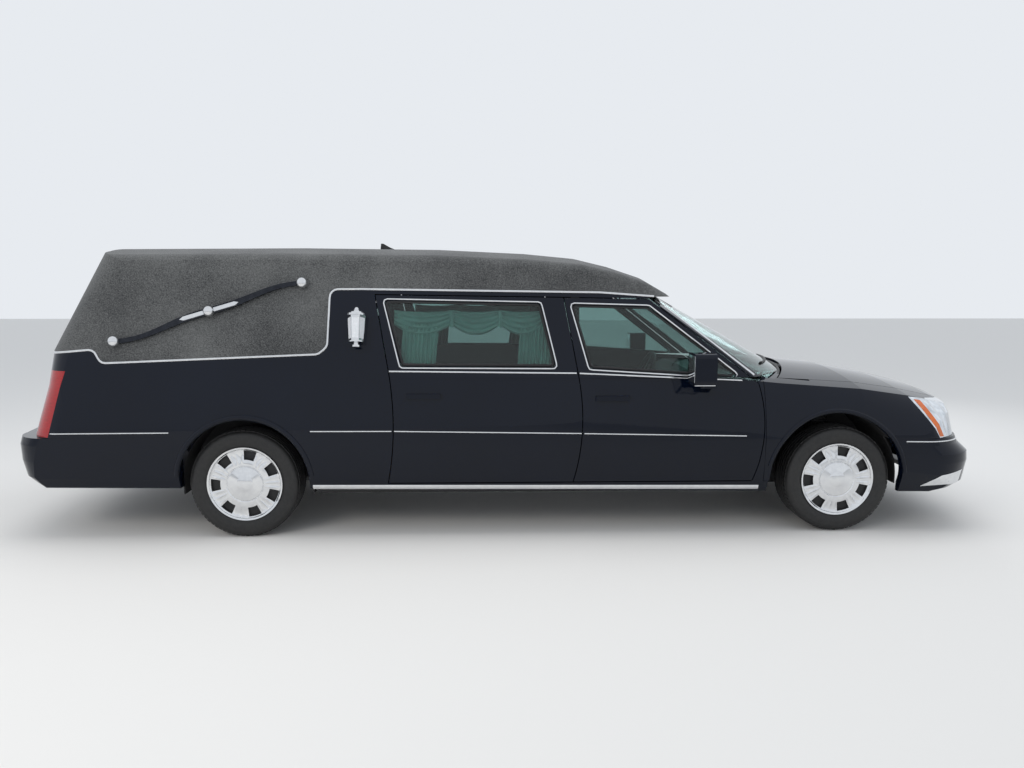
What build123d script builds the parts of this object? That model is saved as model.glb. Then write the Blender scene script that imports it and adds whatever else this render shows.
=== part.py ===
"""A full-size hearse: a funeral coach with a raised vinyl roof.

Millimetres. +X is the front, +Y the driver's left side, +Z up. The origin is on the ground, under the
middle of the coach. Pieces on the right (-Y) are made first, and the left ones mirror them.
"""
from build123d import *
from math import cos, radians, sin, sqrt
import os

os.makedirs("parts", exist_ok=True)

# Driving sizes of the whole coach
front_axle_x = 2090
wheelbase = 3750
rear_axle_x = front_axle_x - wheelbase
nose_x = 3135
tail_x = -3135
body_half = 950
belly_z = 640
sill_half = 900
rocker_half = 925
rocker_rise = 60
body_wall = 85
roof_wall = 42
skin_wall = 30
tail_wall = 90
panel_gap = 6
seat_gap = 0.3
side_reach = 1300

# Wheels
tyre_radius = 340
tyre_width = 235
bead_radius = 222
spindle_radius = 28
wheel_y = 787
kingpin_y = 720
hub_z = tyre_radius
spokes = 7
window_reach = 170

# Lower body, one row a station, from tail to nose:
# x, shoulder half width, shoulder height, crown height at the middle, underside height
lower_stations = [
    (-3200, 893, 1060, 1110, 334),
    (-758, 897, 1047, 1105, 303),
    (407, 893, 1031, 1100, 288),
    (1491, 868, 980, 1080, 274),
    (1707, 858, 958, 1062, 271),
    (2246, 825, 915, 1010, 264),
    (2563, 800, 868, 952, 260),
    (2815, 770, 815, 893, 257),
    (3200, 720, 700, 762, 252),
]

# Greenhouse and roof, one row a station, from tail to windshield:
# x, crown height at the middle, drop from crown to roof corner, how much narrower each side is
roof_stations = [
    (-3200, 1812, 58, 0),
    (-1400, 1826, 60, 0),
    (-480, 1817, 60, 0),
    (115, 1790, 58, 2),
    (452, 1758, 56, 5),
    (670, 1706, 54, 9),
    (865, 1641, 52, 13),
    (990, 1566, 50, 16),
    (1070, 1500, 48, 19),
    (2000, 1200, 40, 52),
]
greenhouse_base_z = 1000
cavity_base_z = 955
belt_ref_z = 1046
belt_half = 899
side_lean = 0.215
side_curve = 0.0000795
roof_roll = 58

# Tail, one row a height: z, tail at the middle, half width at the corner
tail_rows = [
    (180, -3012, 943),
    (660, -3012, 951),
    (960, -2925, 926),
    (1170, -2907, 872),
    (1766, -2644, 703),
    (1860, -2603, 668),
]
tail_bow = 62
tail_corner = 190

# Rear bumper, the same columns
rear_bumper_rows = [
    (250, -2900, 951),
    (356, -3050, 951),
    (400, -3105, 951),
    (500, tail_x + 5, 951),
    (600, tail_x, 951),
    (680, tail_x + 25, 951),
]

# Nose and front bumper, the same columns
nose_rows = [
    (180, 2985, 925),
    (620, 3026, 951),
    (760, 2990, 945),
    (840, 2950, 925),
    (1100, 2800, 900),
]
front_bumper_rows = [
    (240, 2890, 930),
    (280, 3050, 940),
    (320, 3108, 951),
    (450, nose_x, 951),
    (505, nose_x - 5, 951),
    (565, 3062, 951),
    (640, 3026, 951),
]
nose_bow = 95
nose_corner = 330

# Windshield surface at two heights: z, middle x, x at the arc's end
glass_high = (1500, 1035, 793)
glass_low = (1000, 1945, 1497)
glass_arc_y = 900
glass_band = 13
header_z = 1500

# Doors, seen from the side
door_bottom_z = 345
rear_door_back_top = (-845, 1512)
rear_door_back_belt = (-759, 1060)
rear_door_back_mid = (-728, 789)
rear_door_back_low_x = -767
pillar_top = (332, 1496)
pillar_belt = (413, 1040)
pillar_mid = (441, 783)
pillar_low_x = 387
front_door_top = (872, 1486)
front_door_mirror = (1500, 1006)
front_door_high = (1562, 962)
front_door_mid = (1586, 759)
front_door_low_x = 1523

# Door windows: corner points of the clear openings
rear_window = [(-788, 1477), (183, 1458), (277, 1067), (-677, 1074)]
front_window = [(378, 1452), (868, 1438), (1452, 996), (490, 1060)]
window_round = 18
pane_inset = 14
pane_thickness = 5

# Edge of the vinyl covering, from the tail forward to the top of the windshield pillar
vinyl_edge = [(-3400, 1146), (-2541, 1176), (-2497, 1092), (-1130, 1150), (-1119, 1541), (561, 1522),
              (907, 1498), (1500, 1470)]
vinyl_rounds = [20, 60, 70, 8, 300, 300]
header_low = (1000, -550, 1400)
header_high = (1200, 550, 1520)

# Loading door, seen from behind: half widths and heights
loading_low = (600, 655)
loading_belt = (600, 1160)
loading_top = (505, 1690)
loading_top_x = -2680
loading_window = [(440, 1215), (376, 1590)]
loading_tilt_x = 338
loading_tilt_z = 1040

# Hood and the panels round its rear edge
hood_gap = 5
hood_corner = (1728, 752)
hood_middle_x = 1938
hood_nose = (2885, 610)
hood_nose_x = 2985
pillar_face_x = 1594
hinge_pillar_x = pillar_face_x + panel_gap / 2
sill_end_x = 1625
pillar_foot_x = 1700
cowl_side = 28
cowl_setback = 16
hood_hinge_x = 1740
hood_hinge_z = 966
hood_pin_radius = 6

# Arches
front_arch_x = front_axle_x - 30
front_arch_z = 350
front_arch_radius = 425
rear_arch_x = rear_axle_x + 10
rear_arch_z = 355
rear_arch_radius = 398
liner_wall = 8
front_liner_y = 460
rear_liner_y = 620

# Floor, firewall and deck
firewall_x = 1600
firewall_wall = 26
cowl_top_z = 1002.7
cowl_shelf = 28
floor_z = 300
floor_wall = 36
load_floor_z = 575
kick_x = -1180
deck_z = 665
deck_wall = 25
deck_half = 575
deck_front_x = 110
deck_back_x = -2800


def side_half(z):
    """Half width of the greenhouse side at a height."""
    rise = z - belt_ref_z
    return belt_half - side_lean * rise - side_curve * rise * rise


def lower_solid(wall, bottom_drop):
    """The lower body as one closed form, inset by a wall, its underside lowered by a drop."""
    with BuildPart() as form:
        for x, shoulder_y, shoulder_z, crown_z, bottom_z in lower_stations:
            bottom = bottom_z - bottom_drop
            sill = sill_half - wall
            rocker_y = rocker_half - wall
            rocker_z = bottom_z + rocker_rise
            belly_y = body_half - wall
            side_y = shoulder_y - wall
            with BuildSketch(Plane.YZ.offset(x)):
                with BuildLine():
                    Line((-sill, bottom), (sill, bottom))
                    Line((sill, bottom), (rocker_y, rocker_z))
                    ThreePointArc((rocker_y, rocker_z), (belly_y, belly_z), (side_y, shoulder_z))
                    ThreePointArc((side_y, shoulder_z), (0, crown_z - wall), (-side_y, shoulder_z))
                    ThreePointArc((-side_y, shoulder_z), (-belly_y, belly_z), (-rocker_y, rocker_z))
                    Line((-rocker_y, rocker_z), (-sill, bottom))
                make_face()
        loft(ruled=True)
    return form.part


def roof_solid(wall, base_z=greenhouse_base_z):
    """The greenhouse and roof as one closed form, inset by a wall, from a base height up."""
    with BuildPart() as form:
        for x, crown, drop, narrow in roof_stations:
            corner_z = crown - drop
            inset = narrow + wall
            base = side_half(base_z) - inset
            corner = Vector(side_half(corner_z) - inset, corner_z - wall)
            low = Vector(side_half(corner_z - roof_roll) - inset, corner_z - roof_roll - wall)
            middle_z = (base_z + low.Y) / 2
            middle_y = side_half(middle_z + wall / 2) - inset
            top = Vector(0, crown - wall)
            high = corner + (top - corner).normalized() * roof_roll
            roll = (low + high) * 0.25 + corner * 0.5
            with BuildSketch(Plane.YZ.offset(x)):
                with BuildLine():
                    Line((-base, base_z), (base, base_z))
                    ThreePointArc((base, base_z), (middle_y, middle_z), (low.X, low.Y))
                    ThreePointArc((low.X, low.Y), (roll.X, roll.Y), (high.X, high.Y))
                    ThreePointArc((high.X, high.Y), (top.X, top.Y), (-high.X, high.Y))
                    ThreePointArc((-high.X, high.Y), (-roll.X, roll.Y), (-low.X, low.Y))
                    ThreePointArc((-low.X, low.Y), (-middle_y, middle_z), (-base, base_z))
                make_face()
        loft(ruled=True)
    return form.part


def end_solid(rows, bow, corner, shift):
    """All that lies inboard of the tail or nose: plan outlines with round corners, lofted upwards."""
    inboard = 1 if rows[0][1] < 0 else -1
    turn = corner * (1 - sqrt(0.5))
    with BuildPart() as form:
        for z, end, half in rows:
            tip = end + inboard * shift
            flat = tip + inboard * bow
            side = half + 1
            with BuildSketch(Plane.XY.offset(z)):
                with BuildLine():
                    ThreePointArc((flat, corner - side), (tip, 0), (flat, side - corner))
                    ThreePointArc((flat, side - corner), (flat + inboard * turn, side - turn),
                                  (flat + inboard * corner, side))
                    Line((flat + inboard * corner, side), (inboard * 3000, side))
                    Line((inboard * 3000, side), (inboard * 3000, -side))
                    Line((inboard * 3000, -side), (flat + inboard * corner, -side))
                    ThreePointArc((flat + inboard * corner, -side), (flat + inboard * turn, turn - side),
                                  (flat, corner - side))
                make_face()
        loft(ruled=True)
    return form.part


def windshield_arc(z):
    """Middle x and end x of the windshield's outer surface at a height."""
    share = (z - glass_low[0]) / (glass_high[0] - glass_low[0])
    middle = glass_low[1] + share * (glass_high[1] - glass_low[1])
    end = glass_low[2] + share * (glass_high[2] - glass_low[2])
    return middle, end


def windshield_solid(behind, ahead):
    """A body between the windshield surface moved back and the same surface moved ahead, or all ahead."""
    with BuildPart() as form:
        for z in (900, header_z):
            middle, end = windshield_arc(z)
            with BuildSketch(Plane.XY.offset(z)):
                with BuildLine():
                    ThreePointArc((end - behind, -glass_arc_y), (middle - behind, 0), (end - behind, glass_arc_y))
                    if ahead:
                        Line((end - behind, glass_arc_y), (end + ahead, glass_arc_y))
                        ThreePointArc((end + ahead, glass_arc_y), (middle + ahead, 0), (end + ahead, -glass_arc_y))
                        Line((end + ahead, -glass_arc_y), (end - behind, -glass_arc_y))
                    else:
                        Polyline((end - behind, glass_arc_y), (end - behind, side_reach), (3400, side_reach),
                                 (3400, -side_reach), (end - behind, -side_reach), (end - behind, -glass_arc_y))
                make_face()
        loft(ruled=True)
    return form.part


def side_prism(face, both=False):
    """A side-view face drawn on XZ, extruded to the right, or to both sides."""
    with BuildPart() as form:
        extrude(to_extrude=face, amount=side_reach, dir=(0, -1, 0), both=both)
    return form.part


def mirrored(piece):
    """The same piece on the left side."""
    return piece.mirror(Plane.XZ)


def keep(piece, name):
    """Label a finished piece and write it to its own file."""
    piece.label = name
    export_step(piece, "parts/" + name + ".step")


def rear_door_face(grow):
    """Outline of a rear side door, grown or shrunk all round."""
    with BuildSketch(Plane.XZ) as face:
        with BuildLine():
            Line(rear_door_back_top, pillar_top)
            Line(pillar_top, pillar_belt)
            ThreePointArc(pillar_belt, pillar_mid, (pillar_low_x, door_bottom_z))
            Line((pillar_low_x, door_bottom_z), (rear_door_back_low_x, door_bottom_z))
            ThreePointArc((rear_door_back_low_x, door_bottom_z), rear_door_back_mid, rear_door_back_belt)
            Line(rear_door_back_belt, rear_door_back_top)
        make_face()
        offset(amount=grow, kind=Kind.INTERSECTION)
    return face.sketch


def front_door_face(grow):
    """Outline of a front door, grown or shrunk all round."""
    with BuildSketch(Plane.XZ) as face:
        with BuildLine():
            Polyline(pillar_top, front_door_top, front_door_mirror, front_door_high)
            ThreePointArc(front_door_high, front_door_mid, (front_door_low_x, door_bottom_z))
            Line((front_door_low_x, door_bottom_z), (pillar_low_x, door_bottom_z))
            ThreePointArc((pillar_low_x, door_bottom_z), pillar_mid, pillar_belt)
            Line(pillar_belt, pillar_top)
        make_face()
        offset(amount=grow, kind=Kind.INTERSECTION)
    return face.sketch


def window_face(points, grow=0):
    """A window's outline with rounded corners, grown all round."""
    with BuildSketch(Plane.XZ) as face:
        with BuildLine():
            FilletPolyline(*points, radius=window_round, close=True)
        make_face()
        if grow:
            offset(amount=grow)
    return face.sketch


def arch_face(x, z, radius):
    """The round of a wheel arch, open at the ground."""
    with BuildSketch(Plane.XZ) as face:
        with Locations((x, z)):
            Circle(radius)
        with Locations((x, z / 2)):
            Rectangle(2 * radius, z)
    return face.sketch


def side_plane(x, z, out):
    """A plane on the right greenhouse side, moved outwards, its local Y running up the side."""
    lean = side_lean + 2 * side_curve * (z - belt_ref_z)
    spread = sqrt(1 + lean * lean)
    return Plane(origin=(x, -side_half(z) - out, z), x_dir=(1, 0, 0), z_dir=(0, -1 / spread, lean / spread))


def slab(points, low_y, high_y):
    """A side-view polygon made solid between two Y values."""
    with BuildPart() as form:
        with BuildSketch(Plane.XZ.offset(-high_y)):
            with BuildLine():
                Polyline(*points, close=True)
            make_face()
        extrude(amount=high_y - low_y)
    return form.part


def box(low, high):
    """A block between two corners."""
    size = [high[i] - low[i] for i in range(3)]
    middle = [(high[i] + low[i]) / 2 for i in range(3)]
    with BuildPart(Plane(origin=middle)) as form:
        Box(*size)
    return form.part


def rear_view_prism(points, back_x, front_x, rounding):
    """A prism along X of an outline seen from the end: half widths and heights, mirrored to both sides."""
    outline = list(points) + [(-y, z) for y, z in reversed(points)]
    with BuildPart() as form:
        with BuildSketch(Plane.YZ.offset(back_x)):
            with BuildLine():
                FilletPolyline(*outline, radius=rounding, close=True)
            make_face()
        extrude(amount=front_x - back_x)
    return form.part


def hood_face(grow):
    """Plan outline of the hood, grown all round."""
    corner = (hood_corner[0] - grow, hood_corner[1] + grow)
    nose = (hood_nose[0] + grow, hood_nose[1] + grow)
    with BuildSketch(Plane.XY) as face:
        with BuildLine():
            ThreePointArc((corner[0], -corner[1]), (hood_middle_x - grow, 0), corner)
            Line(corner, nose)
            ThreePointArc(nose, (hood_nose_x + grow, 0), (nose[0], -nose[1]))
            Line((nose[0], -nose[1]), (corner[0], -corner[1]))
        make_face()
    return face.sketch


def cowl_face(grow):
    """Plan outline of the cowl panel behind the hood."""
    reach = hood_corner[1] + cowl_side + grow
    back_x = firewall_x + firewall_wall + 1
    with BuildSketch(Plane.XY) as face:
        with BuildLine():
            ThreePointArc((pillar_foot_x, -reach), (hood_middle_x - cowl_setback + grow, 0), (pillar_foot_x, reach))
            Polyline((pillar_foot_x, reach), (back_x, reach), (back_x, -reach), (pillar_foot_x, -reach))
        make_face()
    return face.sketch


def plan_prism(face, low_z, high_z):
    """A prism of a plan outline between two heights."""
    with BuildPart() as form:
        extrude(to_extrude=face, amount=high_z, dir=(0, 0, 1))
        add(box((-4000, -side_reach, -10), (4000, side_reach, low_z)), mode=Mode.SUBTRACT)
    return form.part


# Gross forms of the coach, outside and inside
lower_outer = lower_solid(0, 0)
tail_inside = end_solid(tail_rows, tail_bow, tail_corner, 0)
nose_inside = end_solid(nose_rows, nose_bow, nose_corner, 0)
glass_front = windshield_solid(0, 0)

with BuildPart() as coach_outer:
    add(lower_outer)
    with BuildSketch(Plane.XZ):
        with BuildLine():
            Polyline((-3300, 200), (sill_end_x, 200), (sill_end_x, door_bottom_z - 3), (pillar_face_x, door_bottom_z - 3),
                     (pillar_face_x, 990), (pillar_foot_x, 990), (pillar_foot_x, 1200), (-3300, 1200), close=True)
        make_face()
    extrude(amount=side_reach, both=True, mode=Mode.INTERSECT)
    add(roof_solid(0))
    add(tail_inside, mode=Mode.INTERSECT)
    add(glass_front, mode=Mode.SUBTRACT)

with BuildPart() as cavity:
    add(lower_solid(body_wall, 400))
    with BuildSketch(Plane.XZ):
        with Locations((-800, 600)):
            Rectangle(5000, 1200)
    extrude(amount=side_reach, both=True, mode=Mode.INTERSECT)
    add(roof_solid(roof_wall, cavity_base_z))
    add(end_solid(tail_rows, tail_bow, tail_corner, tail_wall), mode=Mode.INTERSECT)

with BuildPart() as coach_shell:
    add(coach_outer.part)
    add(cavity.part, mode=Mode.SUBTRACT)

with BuildPart() as front_outer:
    add(lower_outer)
    add(nose_inside, mode=Mode.INTERSECT)
    add(box((1500, -side_reach, 200), (3300, side_reach, 1300)), mode=Mode.INTERSECT)

with BuildPart() as front_shell:
    add(front_outer.part)
    add(lower_solid(skin_wall, 400), mode=Mode.SUBTRACT)

# Outlines that split the panels
rear_door_gap = side_prism(rear_door_face(panel_gap / 2))
front_door_gap = side_prism(front_door_face(panel_gap / 2))
rear_door_cut = side_prism(rear_door_face(-panel_gap / 2))
front_door_cut = side_prism(front_door_face(-panel_gap / 2))
rear_window_cut = side_prism(window_face(rear_window))
front_window_cut = side_prism(window_face(front_window))
front_arch = side_prism(arch_face(front_arch_x, front_arch_z, front_arch_radius), both=True)
rear_arch = side_prism(arch_face(rear_arch_x, rear_arch_z, rear_arch_radius), both=True)

with BuildPart() as vinyl_region:
    with BuildSketch(Plane.XZ):
        with BuildLine():
            FilletPolyline(*vinyl_edge, radius=vinyl_rounds)
            Polyline(vinyl_edge[-1], (vinyl_edge[-1][0], 2000), (vinyl_edge[0][0], 2000), vinyl_edge[0])
        make_face()
    extrude(amount=side_reach, both=True)
    add(box(header_low, header_high))

loading_points = [loading_low, loading_belt, loading_top]
loading_swing = 8


def under_top(gap):
    """Everything under the door's top face, which stands square to its hinge line."""
    slope = loading_tilt_x / loading_tilt_z
    rise = [(x, loading_top[1] + gap - slope * (x - loading_top_x)) for x in (-3400, -2300)]
    return slab([*rise, (-2300, 0), (-3400, 0)], -side_reach, side_reach)


loading_gap = rear_view_prism([(y + panel_gap / 2, z + (panel_gap / 2 if z > 1500 else 0 if z > 1000 else
                                                       -panel_gap / 2)) for y, z in loading_points],
                              -3300, -2400, 40) & under_top(panel_gap / 2)
loading_cut = rear_view_prism([(y - panel_gap / 2 - (loading_swing if z > 1000 else 0),
                                z - (panel_gap / 2 if z > 1500 else 0 if z > 1000 else -panel_gap / 2))
                               for y, z in loading_points],
                              -3300, -2400, 37) & under_top(-panel_gap / 2)
loading_glass_cut = rear_view_prism(loading_window, -3300, -2400, 40)

# Tail lamps wrap round the corners between the quarter panels and the loading door
lamp_back_x = -3300
lamp_inner_y = 655
with BuildPart() as tail_lamp_region:
    with BuildSketch(Plane.XZ):
        with BuildLine():
            Polyline((lamp_back_x, 652), (-2808, 652), (-2702, 1052), (lamp_back_x, 1052), close=True)
        make_face()
    extrude(amount=side_reach, both=True)
    with BuildSketch(Plane.XY):
        Rectangle(8000, 2 * lamp_inner_y)
    extrude(amount=2000, mode=Mode.SUBTRACT)

# Bumper zones in side view
rear_bumper_top = 648
rear_bumper_front_x = rear_arch_x - rear_arch_radius - 15
front_bumper_top = 612
front_bumper_back_x = front_arch_x + front_arch_radius - 60

# Firewall and centre posts seen from the end, and the shelf under the cowl
firewall_outline = [(-868, floor_z), (-880, 700), (-800, 992), (800, 992), (880, 700), (868, floor_z)]
post_back_x = 385
post_depth = 55
post_outline = [(770, floor_z), (868, floor_z), (868, 340), (835, 341), (835, 700), (780, 940), (780, 1020),
                (700, 1480), (700, 1506), (745, 1508), (745, 1518), (660, 1518), (660, 1480), (745, 1000),
                (745, 940), (790, 700)]
door_rest_x = (1485, 350)
door_rest_y = 880
with BuildPart() as cowl_shelf_form:
    add(plan_prism(cowl_face(0), cowl_top_z - cowl_shelf, cowl_top_z))
    add(box((firewall_x, -hood_corner[1], cowl_top_z - cowl_shelf), (pillar_foot_x - 50, hood_corner[1], cowl_top_z)))
    add(lower_solid(skin_wall / 2, 0), mode=Mode.INTERSECT)

# Body shell: quarter panels, sills, pillars, drip rails and firewall
with BuildPart() as body_shell:
    add(coach_shell.part)
    add(vinyl_region.part, mode=Mode.SUBTRACT)
    for piece in (rear_door_gap, front_door_gap):
        add(piece, mode=Mode.SUBTRACT)
        add(mirrored(piece), mode=Mode.SUBTRACT)
    add(loading_gap, mode=Mode.SUBTRACT)
    add(tail_lamp_region.part, mode=Mode.SUBTRACT)
    add(rear_arch, mode=Mode.SUBTRACT)
    add(front_arch, mode=Mode.SUBTRACT)
    add(box((-3300, -side_reach, 0), (rear_bumper_front_x, side_reach, rear_bumper_top + seat_gap)),
        mode=Mode.SUBTRACT)
    add(cowl_shelf_form.part)
    with BuildSketch(Plane.YZ.offset(firewall_x)):
        with BuildLine():
            Polyline(*firewall_outline, close=True)
        make_face()
    extrude(amount=firewall_wall)
    for way in (-1, 1):
        with BuildSketch(Plane.YZ.offset(post_back_x)):
            with BuildLine():
                Polyline(*[(way * y, z) for y, z in post_outline], close=True)
            make_face()
        extrude(amount=post_depth)
    for x in door_rest_x:
        for way in (-1, 1):
            with Locations((x, way * door_rest_y, door_bottom_z - 1)):
                Box(30, 30, panel_gap + 2 - 2 * seat_gap)
    add(box((-2965, 480, rear_bumper_top + 1), (-2925, 545, loading_low[1] + panel_gap / 2 - seat_gap)))
keep(body_shell.part, "body_shell")

# Vinyl covered roof with its rear side panels
with BuildPart() as vinyl_roof:
    add(coach_shell.part)
    add(vinyl_region.part, mode=Mode.INTERSECT)
    add(loading_gap, mode=Mode.SUBTRACT)
keep(vinyl_roof.part, "vinyl_roof")

# Side doors with their window openings, handles and mirrors, and the panes
handle_outer_y = -949
handle_inner_y = -905
mirror_low = (1090, -1115, 975)
mirror_high = (1222, -945, 1165)
mirror_foot = [(1165, -975, 940), (1262, -855, 985)]
with BuildPart() as mirror_head:
    add(box(mirror_low, mirror_high))
    fillet(mirror_head.edges().filter_by(Axis.X), radius=28)
with BuildPart() as rear_door:
    add(coach_shell.part)
    add(rear_door_cut, mode=Mode.INTERSECT)
    add(rear_window_cut, mode=Mode.SUBTRACT)
    add(box((-645, handle_outer_y, 880), (-435, handle_inner_y, 910)))

with BuildPart() as front_door:
    add(coach_shell.part)
    add(front_door_cut, mode=Mode.INTERSECT)
    add(front_window_cut, mode=Mode.SUBTRACT)
    add(box((524, handle_outer_y, 862), (734, handle_inner_y, 892)))
    add(mirror_head.part)
    add(box(mirror_foot[0], mirror_foot[1]))

pane_outer = roof_solid(pane_inset)
pane_inner = roof_solid(pane_inset + pane_thickness)
with BuildPart() as pane_band:
    add(pane_outer)
    add(pane_inner, mode=Mode.SUBTRACT)

with BuildPart() as rear_pane:
    add(pane_band.part)
    add(rear_window_cut, mode=Mode.INTERSECT)

with BuildPart() as front_pane:
    add(pane_band.part)
    add(front_window_cut, mode=Mode.INTERSECT)

for name, piece in (("rear_door", rear_door.part), ("front_door", front_door.part),
                    ("rear_door_glass", rear_pane.part), ("front_door_glass", front_pane.part)):
    left = mirrored(piece)
    keep(piece, name + "_right")
    keep(left, name + "_left")

# Loading door and its glass
with BuildPart() as loading_door:
    add(coach_shell.part)
    add(loading_cut, mode=Mode.INTERSECT)
    add(loading_glass_cut, mode=Mode.SUBTRACT)
keep(loading_door.part, "loading_door")

with BuildPart() as loading_glass:
    add(end_solid(tail_rows, tail_bow, tail_corner, pane_inset))
    add(end_solid(tail_rows, tail_bow, tail_corner, pane_inset + pane_thickness), mode=Mode.SUBTRACT)
    add(loading_glass_cut, mode=Mode.INTERSECT)
keep(loading_glass.part, "loading_door_glass")

# Tail lamps
with BuildPart() as tail_lamps:
    add(coach_shell.part)
    add(tail_lamp_region.part, mode=Mode.INTERSECT)
    add(loading_gap, mode=Mode.SUBTRACT)
keep(tail_lamps.part, "tail_lamps")

# Windshield pane, held between the pillars
with BuildPart() as windshield:
    add(windshield_solid(glass_band, -1))
    add(roof_solid(roof_wall), mode=Mode.INTERSECT)
    with BuildSketch(Plane.XZ):
        with BuildLine():
            Polyline((800, 1003), (2100, 1003), (2100, 1497), (800, 1497), close=True)
        make_face()
    extrude(amount=side_reach, both=True, mode=Mode.INTERSECT)
    add(body_shell.part, mode=Mode.SUBTRACT)
    add(vinyl_roof.part, mode=Mode.SUBTRACT)
keep(windshield.part, "windshield")


# Front shell pieces
# Headlamps: side outline, and how far inboard they wrap at the nose
headlamp_side = [(2563, 862), (2700, 846), (3150, 800), (3150, 640), (2721, 614)]
headlamp_inner_y = 500
headlamp_back = [(2500, 1000), (3300, 1000), (3300, headlamp_inner_y), (2835, headlamp_inner_y), (2690, 780),
                 (2500, 820)]
grille_low = (497, 612)
grille_high = (497, 800)
grille_wall = 40
bumper_wall = 55


def lamp_prism(grow):
    """The right headlamp's space."""
    with BuildPart() as form:
        with BuildSketch(Plane.XZ):
            with BuildLine():
                Polyline(*headlamp_side, close=True)
            make_face()
            offset(amount=grow, kind=Kind.INTERSECTION)
        extrude(amount=side_reach)
        with BuildSketch(Plane.XY):
            with BuildLine():
                Polyline(*[(x, -y) for x, y in headlamp_back], close=True)
            make_face()
            offset(amount=grow, kind=Kind.INTERSECTION)
        extrude(amount=1200, mode=Mode.INTERSECT)
    return form.part


def hood_pins(radius, inner_y):
    """The two hinge pins at the hood's rear corners."""
    length = 770 - inner_y
    with BuildPart() as form:
        for way in (-1, 1):
            with Locations(Location((hood_hinge_x, way * (inner_y + length / 2), hood_hinge_z), (90, 0, 0))):
                Cylinder(radius, length)
    return form.part


with BuildPart() as hood:
    add(front_shell.part)
    add(plan_prism(hood_face(0), 780, 1200), mode=Mode.INTERSECT)
    add(hood_pins(hood_pin_radius + seat_gap, 734), mode=Mode.SUBTRACT)
keep(hood.part, "hood")

with BuildPart() as fender:
    add(front_shell.part)
    add(box((hinge_pillar_x, -side_reach, 0), (3300, 0, 1300)), mode=Mode.INTERSECT)
    add(plan_prism(hood_face(hood_gap), 700, 1300), mode=Mode.SUBTRACT)
    add(lamp_prism(seat_gap), mode=Mode.SUBTRACT)
    add(front_arch, mode=Mode.SUBTRACT)
    add(box((hinge_pillar_x, -side_reach, 0), (pillar_foot_x, 0, door_bottom_z)), mode=Mode.SUBTRACT)
    add(box((front_bumper_back_x - 200, -side_reach, 0), (3300, 0, front_bumper_top)), mode=Mode.SUBTRACT)
    add(plan_prism(cowl_face(seat_gap), 700, 1300), mode=Mode.SUBTRACT)
    add(box((1500, -hood_corner[1] - hood_gap, 700), (hood_middle_x, 0, 1300)), mode=Mode.SUBTRACT)
    add(box((2650, -headlamp_inner_y - 10, 0), (3300, 0, 1300)), mode=Mode.SUBTRACT)
    add(body_shell.part, mode=Mode.SUBTRACT)

with BuildPart() as fenders:
    add(fender.part)
    add(mirrored(fender.part))
    add(hood_pins(hood_pin_radius, 735))
keep(fenders.part, "fenders")

with BuildPart() as headlamps:
    for piece in (lamp_prism(0), mirrored(lamp_prism(0))):
        add(piece)
    add(front_outer.part, mode=Mode.INTERSECT)
    add(plan_prism(hood_face(hood_gap), 770, 1300), mode=Mode.SUBTRACT)
keep(headlamps.part, "headlamps")

with BuildPart() as front_bumper_core:
    add(lower_solid(bumper_wall, 400))
    add(end_solid(front_bumper_rows, nose_bow, nose_corner, bumper_wall), mode=Mode.INTERSECT)
    add(box((2000, -side_reach, 200), (3300, side_reach, front_bumper_top + 10)), mode=Mode.INTERSECT)

with BuildPart() as front_bumper:
    add(lower_outer)
    add(end_solid(front_bumper_rows, nose_bow, nose_corner, 0), mode=Mode.INTERSECT)
    add(box((front_bumper_back_x - 100, -side_reach, 250), (3300, side_reach, front_bumper_top - seat_gap)),
        mode=Mode.INTERSECT)
    add(front_bumper_core.part, mode=Mode.SUBTRACT)
    add(front_arch, mode=Mode.SUBTRACT)
    with BuildSketch(Plane.YZ.offset(2700)):
        with Locations((0, 400)):
            RectangleRounded(820, 110, 30)
    extrude(amount=600, mode=Mode.SUBTRACT)
keep(front_bumper.part, "front_bumper")

with BuildPart() as grille:
    add(front_outer.part)
    add(end_solid(nose_rows, nose_bow, nose_corner, grille_wall), mode=Mode.SUBTRACT)
    add(rear_view_prism([grille_low, grille_high], 2700, 3300, 8), mode=Mode.INTERSECT)
    add(plan_prism(hood_face(hood_gap), 774, 1300), mode=Mode.SUBTRACT)
    with BuildSketch(Plane.YZ.offset(2700)):
        with Locations((0, 690)):
            with GridLocations(58, 26, 14, 5):
                Rectangle(48, 17)
    extrude(amount=600, mode=Mode.SUBTRACT)
keep(grille.part, "grille")

# Rear bumper with a step ledge below the loading door
ledge_wall = 40
with BuildPart() as rear_bumper_core:
    add(lower_solid(bumper_wall, 400))
    add(end_solid(rear_bumper_rows, tail_bow + 10, tail_corner + 30, bumper_wall), mode=Mode.INTERSECT)
    add(box((-3300, -side_reach, 200), (0, side_reach, rear_bumper_top - ledge_wall)), mode=Mode.INTERSECT)

with BuildPart() as rear_ledge_core:
    add(lower_solid(bumper_wall, 400))
    add(end_solid(tail_rows, tail_bow, tail_corner, ledge_wall), mode=Mode.INTERSECT)
    add(box((-3300, -side_reach, 500), (0, side_reach, rear_bumper_top + 1)), mode=Mode.INTERSECT)

with BuildPart() as rear_bumper:
    add(lower_outer)
    add(end_solid(rear_bumper_rows, tail_bow + 10, tail_corner + 30, 0), mode=Mode.INTERSECT)
    add(box((-3300, -side_reach, 300), (rear_bumper_front_x - seat_gap, side_reach, rear_bumper_top)),
        mode=Mode.INTERSECT)
    add(rear_bumper_core.part, mode=Mode.SUBTRACT)
    add(rear_ledge_core.part, mode=Mode.SUBTRACT)
    add(rear_arch, mode=Mode.SUBTRACT)
keep(rear_bumper.part, "rear_bumper")

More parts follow.
